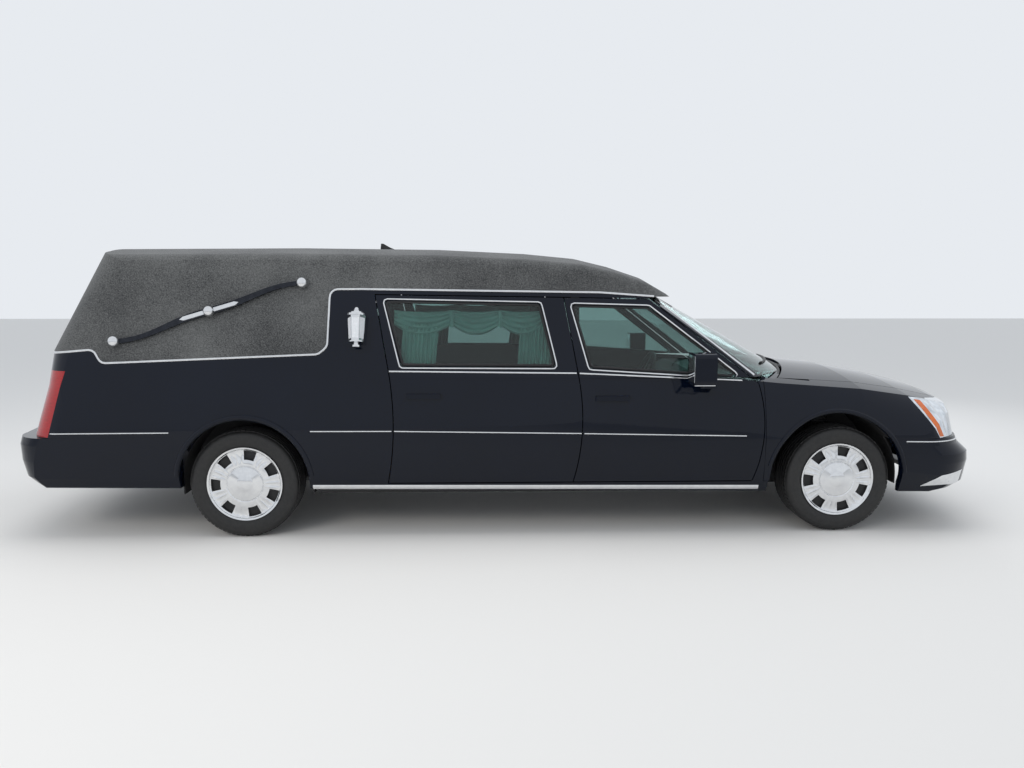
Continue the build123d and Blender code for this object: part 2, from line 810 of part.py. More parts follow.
# Cowl panel between hood and windshield
with BuildPart() as cowl_panel:
    add(plan_prism(cowl_face(0), cowl_top_z - 10, 1150))
    add(lower_solid(14, 0), mode=Mode.INTERSECT)
    add(windshield_solid(-1, 0), mode=Mode.INTERSECT)
    add(body_shell.part, mode=Mode.SUBTRACT)
    add(plan_prism(hood_face(hood_gap), 900, 1300), mode=Mode.SUBTRACT)
keep(cowl_panel.part, "cowl_panel")

# Wheels: tyre and rim on each hub
with BuildPart() as tyre_form:
    with BuildSketch(Plane.XY):
        with BuildLine():
            half = tyre_width / 2
            bead = bead_radius + seat_gap
            Polyline((bead, -half + 31), (bead + 11, -half + 19), (bead + 28, -half + 5), (285, -half),
                     (tyre_radius - 24, -half + 6), (tyre_radius - 3, -half + 26), (tyre_radius, 0),
                     (tyre_radius - 3, half - 26), (tyre_radius - 24, half - 6), (285, half),
                     (bead + 28, half - 5), (bead + 11, half - 19), (bead, half - 31), close=True)
        make_face()
    revolve(axis=Axis.Y)

with BuildPart() as rim_form:
    with BuildSketch(Plane.XY):
        with BuildLine():
            bore = spindle_radius + seat_gap
            Polyline((bore, -30), (bore, 100), (108, 100), (112, 96), (150, 92), (198, 86), (210, 101), (232, 107), (233, 101), (bead_radius, 92),
                     (bead_radius, -92), (233, -101), (232, -107), (212, -101), (206, -88), (206, 60),
                     (100, 66), (75, 10), (75, -30), close=True)
        make_face()
    revolve(axis=Axis.Y)
    with Locations(Location((0, 83, 0), (90, 0, 0))):
        Cylinder(46, 42)
    with BuildSketch(Plane.XZ.offset(-120)):
        with PolarLocations(window_reach, spokes):
            RectangleRounded(36, 66, 8)
    extrude(amount=80, mode=Mode.SUBTRACT)

wheel_places = [
    ("front", "right", front_axle_x, -1),
    ("front", "left", front_axle_x, 1),
    ("rear", "right", rear_axle_x, -1),
    ("rear", "left", rear_axle_x, 1),
]
for end, side, axle_x, way in wheel_places:
    turn = 180 if way < 0 else 0
    place = Location((axle_x, way * wheel_y, hub_z), (0, 0, turn))
    keep(tyre_form.part.moved(place), "tyre_" + end + "_" + side)
    keep(rim_form.part.moved(place), "rim_" + end + "_" + side)


# Floor pan with kicked-up load floor and rear wheelhouses
kick_run = 150
kick_lag = 21
with BuildPart() as floorpan:
    with BuildSketch(Plane.XZ):
        with BuildLine():
            Polyline((1590, floor_z), (kick_x, floor_z), (kick_x - kick_run, load_floor_z), (-3000, load_floor_z),
                     (-3000, load_floor_z - floor_wall), (kick_x - kick_run - kick_lag, load_floor_z - floor_wall),
                     (kick_x - kick_lag, floor_z - floor_wall), (1590, floor_z - floor_wall), close=True)
        make_face()
    extrude(amount=side_reach, both=True)
    for way in (-1, 1):
        outer_y = max(way * side_reach, way * (rear_liner_y - liner_wall))
        with BuildSketch(Plane.XZ.offset(-outer_y)):
            add(arch_face(rear_arch_x, rear_arch_z, rear_arch_radius + liner_wall))
        extrude(amount=side_reach - rear_liner_y + liner_wall)
        outer_y = max(way * side_reach, way * rear_liner_y)
        with BuildSketch(Plane.XZ.offset(-outer_y)):
            add(arch_face(rear_arch_x, rear_arch_z, rear_arch_radius))
        extrude(amount=side_reach - rear_liner_y, mode=Mode.SUBTRACT)
    add(box((-2300, -side_reach, 0), (-1220, side_reach, floor_z - floor_wall)), mode=Mode.SUBTRACT)
    add(box((rear_axle_x - 380, -rear_liner_y - 1, 0), (rear_axle_x + 380, rear_liner_y + 1, 430)),
        mode=Mode.SUBTRACT)
    add(lower_solid(body_wall, 400), mode=Mode.INTERSECT)
    add(end_solid(tail_rows, tail_bow, tail_corner, tail_wall), mode=Mode.INTERSECT)
keep(floorpan.part, "floorpan")

# Front frame: wheelhouse liners, aprons, rails, cross members, struts and lower arms in one welded piece
bay_x = firewall_x + firewall_wall
rail_top_z = 264
frame_boxes = [
    ((bay_x, -460, rail_top_z), (2560, -440, 850)),
    ((bay_x, -460, rail_top_z), (2560, -400, 324)),
    ((1500, -420, 204), (2570, -360, rail_top_z)),
    ((1640, -420, 204), (1720, 1, rail_top_z)),
    ((2050, -420, 204), (2130, 1, rail_top_z)),
    ((2440, -420, 204), (2570, 1, rail_top_z)),
    ((2060, -725, 225), (2120, -400, 250)),
    ((2060, -725, 430), (2120, -540, 455)),
]
strut_y = 560
eye_radius = 38
kingpin_radius = 20
eye_heights = [225, 430]
eye_height = 25
spring_low_z = 520
spring_pitch = 17
spring_turns = 13

with BuildPart() as frame_side:
    add(side_prism(arch_face(front_arch_x, front_arch_z, front_arch_radius + liner_wall)))
    add(front_arch, mode=Mode.SUBTRACT)
    add(box((1500, -front_liner_y, 0), (2700, 0, 1200)), mode=Mode.SUBTRACT)
    add(box((1500, -side_reach, floor_z), (2700, 0, 1200)), mode=Mode.INTERSECT)
    add(lower_solid(skin_wall, 400), mode=Mode.INTERSECT)
    add(box((2300, -side_reach, 0), (2700, -840, front_bumper_top + 1)), mode=Mode.SUBTRACT)
    for low, high in frame_boxes:
        add(box(low, high))
    with Locations((front_axle_x, -strut_y, 500)):
        Cylinder(30, 550)
    for turn in range(spring_turns):
        with Locations((front_axle_x, -strut_y, spring_low_z + turn * spring_pitch)):
            Torus(50, 10)
    with Locations((front_axle_x, -strut_y, spring_low_z - 8)):
        Cylinder(60, 12)
    with Locations((front_axle_x, -strut_y, 769)):
        Cylinder(64, 24)
    for z in eye_heights:
        with Locations((front_axle_x, -kingpin_y, z + eye_height / 2)):
            Cylinder(eye_radius, eye_height)
    with Locations((front_axle_x, -kingpin_y, 340)):
        Cylinder(kingpin_radius + seat_gap, 400, mode=Mode.SUBTRACT)

with BuildPart() as front_frame:
    add(frame_side.part)
    add(mirrored(frame_side.part))
    with BuildSketch(Plane.YZ.offset(2540)):
        with Locations((0, 532)):
            Rectangle(1200, 536)
            Rectangle(760, 400, mode=Mode.SUBTRACT)
    extrude(amount=50)
keep(front_frame.part, "front_frame")

keep(box((1760, -380, rail_top_z + seat_gap), (2400, 380, 760)), "engine_block")

# Front knuckles: king pin, block and spindle
with BuildPart() as knuckle:
    with Locations((front_axle_x, -kingpin_y, 340)):
        Cylinder(kingpin_radius, 240)
    with Locations((front_axle_x, -kingpin_y, 340)):
        Box(70, 60, 164)
    with Locations(Location((front_axle_x, -795, hub_z), (90, 0, 0))):
        Cylinder(spindle_radius, 104)
keep(knuckle.part, "knuckle_right")
keep(mirrored(knuckle.part), "knuckle_left")

# Rear axle: beam, spindles, trailing arms and springs
rear_spring_y = 545
with BuildPart() as axle_side:
    with Locations(Location((rear_axle_x, -372, hub_z), (90, 0, 0))):
        Cylinder(40, 746)
    with Locations(Location((rear_axle_x, -795, hub_z), (90, 0, 0))):
        Cylinder(spindle_radius, 104)
    add(box((rear_axle_x, -530, 315), (-1265, -480, 365)))
    add(box((-1300, -530, 320), (-1250, -480, 425)))
    for turn in range(8):
        with Locations((rear_axle_x, -rear_spring_y, 392 + turn * spring_pitch)):
            Torus(48, 10)
    with Locations((rear_axle_x, -rear_spring_y, 460)):
        Cylinder(30, 158)
    with Locations((rear_axle_x, -rear_spring_y, 382)):
        Cylinder(60, 14)
    with Locations((rear_axle_x, -rear_spring_y, 527)):
        Cylinder(60, 24)
    add(floorpan.part, mode=Mode.SUBTRACT)
with BuildPart() as rear_axle:
    add(axle_side.part)
    add(mirrored(axle_side.part))
keep(rear_axle.part, "rear_axle")

# Exhaust: pipe, muffler and tailpipe hung from the floor
pipe_radius = 28
exhaust_runs = [
    [(1600, -250, 225), (-1800, -250, 225), (-1980, -250, 370), (-2130, -250, 370)],
    [(-2540, -330, 370), (-2680, -330, 370), (-2780, -330, 290), (-3000, -330, 290)],
]
with BuildPart() as exhaust:
    for run in exhaust_runs:
        with BuildLine() as path:
            FilletPolyline(*run, radius=90)
        with BuildSketch(Plane(origin=run[0], x_dir=(0, 1, 0), z_dir=(-1, 0, 0))):
            Circle(pipe_radius)
        sweep(path=path.line)
    with BuildSketch(Plane.YZ.offset(-2560)):
        with Locations((-270, 370)):
            RectangleRounded(280, 150, 60)
    extrude(amount=450)
    for x in (900, -800):
        with Locations((x, -250, 249)):
            Box(24, 24, 30)
    with Locations((-2335, -270, 487)):
        Box(40, 30, 104)
keep(exhaust.part, "exhaust")

with BuildPart() as fuel_tank:
    with BuildSketch(Plane.XY.offset(176)):
        with Locations((-800, 185)):
            RectangleRounded(600, 750, 60)
    extrude(amount=floor_z - floor_wall - 176)
keep(fuel_tank.part, "fuel_tank")

# Dashboard, with a bore for the steering shaft, and the steering wheel
column_tilt = 25
column_plane = Plane(origin=(1080, 370, 870), x_dir=(0, 1, 0),
                     z_dir=(cos(radians(column_tilt)), 0, -sin(radians(column_tilt))))
wheel_ring = 190
shaft_radius = 22
dash_half = 770
with BuildPart(column_plane) as column_bore:
    with Locations((0, 0, 95)):
        Cylinder(shaft_radius + seat_gap, 190)

with BuildPart() as dashboard:
    add(slab([(1599.7, 958), (1330, 962), (1190, 900), (1180, 870), (1220, 760), (1400, 700), (1599.7, 700)],
             -dash_half, dash_half))
    add(column_bore.part, mode=Mode.SUBTRACT)
keep(dashboard.part, "dashboard")

with BuildPart(column_plane) as steering_wheel:
    Torus(wheel_ring, 15)
    with Locations((0, 0, 14)):
        Cylinder(62, 36)
    Box(34, 2 * wheel_ring, 12)
    with Locations((wheel_ring / 2, 0, 0)):
        Box(wheel_ring, 34, 12)
    with Locations((0, 0, 90)):
        Cylinder(shaft_radius, 180)
keep(steering_wheel.part, "steering_wheel")

# Front seats: side profiles of cushion, back, head rest and pedestal
seat_parts = [
    ([(850, 440), (852, 520), (820, 560), (420, 520), (400, 400), (830, 400)], 120, 620),
    ([(450, 470), (330, 1110), (290, 1150), (225, 1150), (190, 1110), (320, 440)], 120, 620),
    ([(300, 1180), (290, 1320), (270, 1330), (215, 1330), (205, 1200), (225, 1175)], 240, 500),
    ([(265, 1140), (262, 1180), (246, 1180), (249, 1140)], 300, 316),
    ([(265, 1140), (262, 1180), (246, 1180), (249, 1140)], 424, 440),
    ([(800, 402), (780, floor_z), (440, floor_z), (420, 402)], 180, 560),
]
with BuildPart() as front_seats:
    for points, near_y, far_y in seat_parts:
        add(slab(points, -far_y, -near_y))
        add(slab(points, near_y, far_y))
keep(front_seats.part, "front_seats")

# Casket deck with its skirts and the partition behind the seats
skirt = 30
well_depth = 3
roller_places = [-2650, -2050, -1450, -850, -250]
skirt_outline = [(deck_front_x, deck_z - 1), (deck_front_x, floor_z), (kick_x, floor_z),
                 (kick_x - kick_run, load_floor_z), (deck_back_x, load_floor_z), (deck_back_x, deck_z - 1)]
with BuildPart() as casket_deck:
    add(box((deck_back_x, -deck_half, deck_z - deck_wall), (deck_front_x + 15, deck_half, deck_z)))
    add(slab(skirt_outline, -deck_half, skirt - deck_half))
    add(slab(skirt_outline, deck_half - skirt, deck_half))
    add(box((deck_front_x + 10, -dash_half, floor_z), (deck_front_x + 40, dash_half, 1150)))
    for x in roller_places:
        add(box((x - 40, -deck_half - 1, deck_z - well_depth), (x + 40, deck_half + 1, deck_z + 1)),
            mode=Mode.SUBTRACT)
keep(casket_deck.part, "casket_deck")

# Rollers across the deck, each held between two cheeks
with BuildPart() as deck_rollers:
    for x in roller_places:
        with Locations(Location((x, 0, deck_z + 24), (90, 0, 0))):
            Cylinder(16, 840)
        for y in (-425, 425):
            with Locations((x, y, deck_z + 22 - well_depth / 2)):
                Box(60, 14, 44 + well_depth)
keep(deck_rollers.part, "deck_rollers")

# Window drapes inside the rear doors
drape_depth = 38
with BuildPart() as drape:
    add(roof_solid(roof_wall + seat_gap, cavity_base_z))
    add(roof_solid(roof_wall + drape_depth, cavity_base_z), mode=Mode.SUBTRACT)
    add(side_prism(window_face(rear_window, 18)), mode=Mode.INTERSECT)
keep(drape.part, "drapes_right")
keep(mirrored(drape.part), "drapes_left")

# Coach lamps: hexagonal lanterns with caps and finials on the panels behind the rear doors
lantern_x = -946
lantern_z = 1309
lantern_out = 54
wall_plane = side_plane(lantern_x, lantern_z, lantern_out)
lantern_plane = Plane(origin=wall_plane.origin, x_dir=(1, 0, 0), z_dir=wall_plane.y_dir)
lantern_rings = [
    (82, 12, 58),
    (92, 14, 40),
    (104, 16, 20),
    (-84, 8, 48),
    (-96, 20, 16),
    (-111, 12, 26),
]
with BuildPart(lantern_plane) as coach_lamp:
    with BuildSketch(lantern_plane.offset(-80)):
        RegularPolygon(45, 6)
    with BuildSketch(lantern_plane.offset(78)):
        RegularPolygon(54, 6)
    loft(ruled=True)
    for height, thick, radius in lantern_rings:
        with Locations((0, 0, height)):
            Cylinder(radius, thick)
    with Locations((0, 0, 118)):
        Sphere(15)
    with Locations((0, lantern_out - 9, 0)):
        Box(70, 16, 150)
    with Locations((0, lantern_out + 49, 0)):
        Box(300, 100, 400, mode=Mode.SUBTRACT)
with BuildPart() as coach_lamps:
    add(coach_lamp.part)
    add(mirrored(coach_lamp.part))
keep(coach_lamps.part, "coach_lamps")

# Landau bars: gentle S curves with a ball at each end and in the middle
bar_middle = (-1851, 1417)
bar_half_run = 560
bar_half_rise = 170
bar_plane = side_plane(bar_middle[0], bar_middle[1], 6.4)
with BuildPart(bar_plane) as landau_bar:
    with BuildSketch(bar_plane):
        with BuildLine():
            Spline((-bar_half_run, -bar_half_rise - 12), (-150, -36), (150, 62), (bar_half_run, bar_half_rise + 14),
                   tangents=[(1, 0.05), (1, 0.05)])
            Line((bar_half_run, bar_half_rise + 14), (bar_half_run, bar_half_rise - 14))
            Spline((bar_half_run, bar_half_rise - 14), (150, 18), (-150, -80), (-bar_half_run, -bar_half_rise - 40),
                   tangents=[(-1, -0.05), (-1, -0.05)])
            Line((-bar_half_run, -bar_half_rise - 40), (-bar_half_run, -bar_half_rise - 12))
        make_face()
    extrude(amount=12)
    for x, y in ((-bar_half_run, -bar_half_rise - 26), (0, -9), (bar_half_run, bar_half_rise)):
        with Locations((x, y, 14)):
            Sphere(34)
    with Locations((0, 0, -59.2)):
        Box(1400, 800, 100, mode=Mode.SUBTRACT)
with BuildPart() as landau_bars:
    add(landau_bar.part)
    add(mirrored(landau_bar.part))
keep(landau_bars.part, "landau_bars")
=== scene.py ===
"""A full-size hearse, dressed for a soft studio. Metres; +X is the front, +Y the left side, +Z up."""
import bpy
import bmesh
from math import cos, pi, radians, sin, sqrt
from mathutils import Matrix, Vector
from mathutils.bvhtree import BVHTree


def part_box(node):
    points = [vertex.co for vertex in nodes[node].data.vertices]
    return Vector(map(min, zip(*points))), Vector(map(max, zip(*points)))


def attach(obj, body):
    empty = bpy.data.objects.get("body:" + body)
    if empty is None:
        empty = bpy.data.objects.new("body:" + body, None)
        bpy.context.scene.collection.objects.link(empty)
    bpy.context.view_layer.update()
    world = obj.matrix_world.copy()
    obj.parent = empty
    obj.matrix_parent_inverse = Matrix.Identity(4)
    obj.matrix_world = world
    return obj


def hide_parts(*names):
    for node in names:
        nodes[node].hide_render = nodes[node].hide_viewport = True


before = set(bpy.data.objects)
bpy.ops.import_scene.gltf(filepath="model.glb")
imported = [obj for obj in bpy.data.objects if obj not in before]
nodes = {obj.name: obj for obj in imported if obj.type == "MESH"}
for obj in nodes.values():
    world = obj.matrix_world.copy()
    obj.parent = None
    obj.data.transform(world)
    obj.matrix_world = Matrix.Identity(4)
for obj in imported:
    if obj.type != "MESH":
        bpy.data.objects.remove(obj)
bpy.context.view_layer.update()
scene = bpy.context.scene
sides = (("right", -1), ("left", 1))

# Camera
# A wide phone lens at eye height, square on to the right side and tilted a little down.
camera_place = Vector((-0.1723, -5.6295, 1.5772))
camera_yaw, camera_pitch, camera_roll = 0.0373028, 0.1287824, 0.0012161
ahead = Vector((sin(camera_yaw) * cos(camera_pitch), cos(camera_yaw) * cos(camera_pitch), -sin(camera_pitch)))
lens = bpy.data.cameras.new("camera")
lens.sensor_width = 36
lens.lens = 27.10
camera = bpy.data.objects.new("camera", lens)
scene.collection.objects.link(camera)
camera.matrix_world = (Matrix.Translation(camera_place) @ ahead.to_track_quat("-Z", "Y").to_matrix().to_4x4()
                       @ Matrix.Rotation(camera_roll, 4, "Z"))
scene.camera = camera
scene.view_settings.view_transform = "Standard"


# Studio
# A plain pale floor under one wide overhead light, a key from the camera's side and a pale surround.
def new_material(name):
    """An empty node material with its shader and output."""
    material = bpy.data.materials.new(name)
    material.use_nodes = True
    tree = material.node_tree
    return material, tree, tree.nodes["Principled BSDF"]


floor_colour = (0.74, 0.72, 0.69, 1)
floor_half = 30
floor_finish, tree, shader = new_material("studio_floor")
shader.inputs["Roughness"].default_value = 0.8
shader.inputs["Base Color"].default_value = floor_colour
floor_mesh = bpy.data.meshes.new("studio_floor")
floor_corners = [(x * floor_half, y * floor_half, 0) for x, y in ((-1, -1), (1, -1), (1, 1), (-1, 1))]
floor_mesh.from_pydata(floor_corners, [], [(0, 1, 2, 3)])
floor_mesh.materials.append(floor_finish)
floor = bpy.data.objects.new("studio_floor", floor_mesh)
scene.collection.objects.link(floor)

world = bpy.data.worlds.new("studio")
scene.world = world
world.use_nodes = True
world_tree = world.node_tree
world_tree.nodes.clear()
path = world_tree.nodes.new("ShaderNodeLightPath")
seen = world_tree.nodes.new("ShaderNodeMath")
seen.operation = "MAXIMUM"
clear = world_tree.nodes.new("ShaderNodeMath")
clear.operation = "MAXIMUM"
fill_light = world_tree.nodes.new("ShaderNodeBackground")
fill_light.inputs["Color"].default_value = (0.86, 0.92, 1, 1)
fill_light.inputs["Strength"].default_value = 0.85
surround = world_tree.nodes.new("ShaderNodeBackground")
surround.inputs["Color"].default_value = (0.80, 0.83, 0.87, 1)
mix = world_tree.nodes.new("ShaderNodeMixShader")
output = world_tree.nodes.new("ShaderNodeOutputWorld")
link = world_tree.links.new
link(path.outputs["Is Camera Ray"], seen.inputs[0])
link(path.outputs["Is Glossy Ray"], seen.inputs[1])
link(seen.outputs[0], clear.inputs[0])
link(path.outputs["Is Transmission Ray"], clear.inputs[1])
link(clear.outputs[0], mix.inputs["Fac"])
link(fill_light.outputs[0], mix.inputs[1])
link(surround.outputs[0], mix.inputs[2])
link(mix.outputs[0], output.inputs["Surface"])

lamp_table = [
    # name, place, aim, width, depth, power, colour
    ("overhead", (0, -0.5, 5.2), (0, 0, 0), 7.5, 3.0, 150, (1, 1, 1)),
    ("key", (-4.5, -6.0, 4.2), (0, 0, 0.9), 3.0, 2.0, 130, (1, 0.97, 0.93)),
    ("rim", (3.0, 5.5, 3.2), (0, 0, 0.9), 4.0, 1.6, 90, (0.93, 0.96, 1)),
]
for name, place, aim, width, depth, power, colour in lamp_table:
    light = bpy.data.lights.new(name, "AREA")
    light.shape = "RECTANGLE"
    light.size = width
    light.size_y = depth
    light.energy = power
    light.color = colour
    lamp = bpy.data.objects.new(name, light)
    lamp.visible_glossy = False
    scene.collection.objects.link(lamp)
    turn = (Vector(aim) - Vector(place)).to_track_quat("-Z", "Y")
    lamp.matrix_world = Matrix.Translation(place) @ turn.to_matrix().to_4x4()


# Body panels
# Pressed steel panels, hung or welded on the coach and sprayed a deep gloss black under a clear coat.
# The paint is polished and keeps the faint ripple of the spray.
def grain_group():
    """A shared surface effect: two tones, two roughnesses and a height, all from one layered noise."""
    group = bpy.data.node_groups.new("surface_grain", "ShaderNodeTree")
    face = group.interface
    wanted = (("Tone A", "NodeSocketColor"), ("Tone B", "NodeSocketColor"), ("Scale", "NodeSocketFloat"),
              ("Stretch", "NodeSocketVector"), ("Crackle", "NodeSocketFloat"),
              ("Rough Low", "NodeSocketFloat"), ("Rough High", "NodeSocketFloat"))
    for label, kind in wanted:
        face.new_socket(label, in_out="INPUT", socket_type=kind)
    given_out = (("Tone", "NodeSocketColor"), ("Roughness", "NodeSocketFloat"), ("Height", "NodeSocketFloat"))
    for label, kind in given_out:
        face.new_socket(label, in_out="OUTPUT", socket_type=kind)
    make = group.nodes.new
    join = group.links.new
    given = make("NodeGroupInput")
    result = make("NodeGroupOutput")
    place = make("ShaderNodeTexCoord")
    stretched = make("ShaderNodeVectorMath")
    stretched.operation = "MULTIPLY"
    noise = make("ShaderNodeTexNoise")
    noise.inputs["Detail"].default_value = 6
    broad = make("ShaderNodeTexNoise")
    broad.inputs["Scale"].default_value = 2.3
    broad.inputs["Detail"].default_value = 3
    cells = make("ShaderNodeTexVoronoi")
    cells.feature = "DISTANCE_TO_EDGE"
    blend = make("ShaderNodeMix")
    blend.data_type = "FLOAT"
    wave = make("ShaderNodeMix")
    wave.data_type = "FLOAT"
    wave.inputs["Factor"].default_value = 0.35
    tone = make("ShaderNodeMix")
    tone.data_type = "RGBA"
    rough = make("ShaderNodeMapRange")
    join(place.outputs["Object"], stretched.inputs[0])
    join(given.outputs["Stretch"], stretched.inputs[1])
    for texture in (noise, cells):
        join(stretched.outputs[0], texture.inputs["Vector"])
        join(given.outputs["Scale"], texture.inputs["Scale"])
    join(place.outputs["Object"], broad.inputs["Vector"])
    join(given.outputs["Crackle"], blend.inputs["Factor"])
    join(noise.outputs["Fac"], blend.inputs["A"])
    join(cells.outputs["Distance"], blend.inputs["B"])
    join(noise.outputs["Fac"], wave.inputs["A"])
    join(broad.outputs["Fac"], wave.inputs["B"])
    sharper = make("ShaderNodeMapRange")
    sharper.inputs["From Min"].default_value = 0.38
    sharper.inputs["From Max"].default_value = 0.62
    join(wave.outputs["Result"], sharper.inputs["Value"])
    join(sharper.outputs["Result"], tone.inputs["Factor"])
    join(given.outputs["Tone A"], tone.inputs["A"])
    join(given.outputs["Tone B"], tone.inputs["B"])
    join(wave.outputs["Result"], rough.inputs["Value"])
    rough.inputs["From Min"].default_value = 0.3
    rough.inputs["From Max"].default_value = 0.7
    join(given.outputs["Rough Low"], rough.inputs["To Min"])
    join(given.outputs["Rough High"], rough.inputs["To Max"])
    join(tone.outputs["Result"], result.inputs["Tone"])
    join(rough.outputs["Result"], result.inputs["Roughness"])
    join(blend.outputs["Result"], result.inputs["Height"])
    return group


surface_grain = grain_group()


def finish(name, tone_a, tone_b, scale, rough, bump=(0.0, 0.001), crackle=0.0, stretch=(1, 1, 1), **plain):
    """A finish from the shared grain. bump is strength and depth; plain names sockets that stay uniform."""
    material, tree, shader = new_material(name)
    grain = tree.nodes.new("ShaderNodeGroup")
    grain.node_tree = surface_grain
    grain.inputs["Tone A"].default_value = (*tone_a, 1)
    grain.inputs["Tone B"].default_value = (*tone_b, 1)
    grain.inputs["Scale"].default_value = scale
    grain.inputs["Stretch"].default_value = stretch
    grain.inputs["Crackle"].default_value = crackle
    grain.inputs["Rough Low"].default_value = rough[0]
    grain.inputs["Rough High"].default_value = rough[1]
    tree.links.new(grain.outputs["Tone"], shader.inputs["Base Color"])
    tree.links.new(grain.outputs["Roughness"], shader.inputs["Roughness"])
    if bump[0]:
        relief = tree.nodes.new("ShaderNodeBump")
        relief.inputs["Strength"].default_value = bump[0]
        relief.inputs["Distance"].default_value = bump[1]
        tree.links.new(grain.outputs["Height"], relief.inputs["Height"])
        tree.links.new(relief.outputs["Normal"], shader.inputs["Normal"])
    for label, value in plain.items():
        shader.inputs[label.replace("_", " ")].default_value = value
    return material


def dress(material, *names):
    """Gives a finish to CAD nodes."""
    for node in names:
        mesh = nodes[node].data
        mesh.materials.clear()
        mesh.materials.append(material)


black_paint = finish("black_paint", (0.0012, 0.0028, 0.0080), (0.0022, 0.0045, 0.0115), 900, (0.05, 0.08),
                     (0.03, 0.0001), Specular_IOR_Level=0.22, Coat_Weight=0.12, Coat_Roughness=0.02)
dress(black_paint, "body_shell", "fenders", "hood", "front_bumper", "rear_bumper", "front_door_right",
      "front_door_left", "rear_door_right", "rear_door_left")


# Vinyl covering
# Charcoal crinkle vinyl, glued over the raised roof, the rear side panels and the top of the loading door.
# Below its edge the loading door is painted like the body.
vinyl_dark = (0.014, 0.015, 0.016)
vinyl_pale = (0.115, 0.117, 0.115)
vinyl_scale = 150
vinyl_crackle = 0.3
vinyl_rough = (0.38, 0.6)
vinyl_relief = (0.9, 0.006)
vinyl = finish("crinkle_vinyl", vinyl_dark, vinyl_pale, vinyl_scale, vinyl_rough, vinyl_relief,
               crackle=vinyl_crackle)
dress(vinyl, "vinyl_roof")

vinyl_line = 1.146
door_paint = (0.0017, 0.0037, 0.0098, 1)
door_paint_rough = 0.05
door_finish, tree, shader = new_material("loading_door_finish")
door_grain = tree.nodes.new("ShaderNodeGroup")
door_grain.node_tree = surface_grain
for label, value in (("Tone A", (*vinyl_dark, 1)), ("Tone B", (*vinyl_pale, 1)), ("Scale", vinyl_scale),
                     ("Stretch", (1, 1, 1)), ("Crackle", vinyl_crackle), ("Rough Low", vinyl_rough[0]),
                     ("Rough High", vinyl_rough[1])):
    door_grain.inputs[label].default_value = value
place = tree.nodes.new("ShaderNodeTexCoord")
split = tree.nodes.new("ShaderNodeSeparateXYZ")
above = tree.nodes.new("ShaderNodeMath")
above.operation = "GREATER_THAN"
above.inputs[1].default_value = vinyl_line
tint = tree.nodes.new("ShaderNodeMix")
tint.data_type = "RGBA"
tint.inputs["A"].default_value = door_paint
gloss = tree.nodes.new("ShaderNodeMix")
gloss.data_type = "FLOAT"
gloss.inputs["A"].default_value = door_paint_rough
height = tree.nodes.new("ShaderNodeMath")
height.operation = "MULTIPLY"
relief = tree.nodes.new("ShaderNodeBump")
relief.inputs["Strength"].default_value = vinyl_relief[0]
relief.inputs["Distance"].default_value = vinyl_relief[1]
link = tree.links.new
link(place.outputs["Object"], split.inputs[0])
link(split.outputs["Z"], above.inputs[0])
link(above.outputs[0], tint.inputs["Factor"])
link(door_grain.outputs["Tone"], tint.inputs["B"])
link(tint.outputs["Result"], shader.inputs["Base Color"])
link(above.outputs[0], gloss.inputs["Factor"])
link(door_grain.outputs["Roughness"], gloss.inputs["B"])
link(gloss.outputs["Result"], shader.inputs["Roughness"])
link(above.outputs[0], height.inputs[0])
link(door_grain.outputs["Height"], height.inputs[1])
link(height.outputs[0], relief.inputs["Height"])
link(relief.outputs["Normal"], shader.inputs["Normal"])
dress(door_finish, "loading_door")


# Bright trim
# Rolled stainless beads, pressed on round the vinyl, the windows and the belt line, and along the sills.
# The lips of the wheel openings are painted.
chrome = finish("chrome", (0.70, 0.71, 0.73), (0.78, 0.79, 0.80), 40, (0.05, 0.09), Metallic=1.0)
# A bead is thrown inwards from one of two planes: clear of the whole side, or close outside the windows.
outside_all = 1.3
outside_windows = 0.94


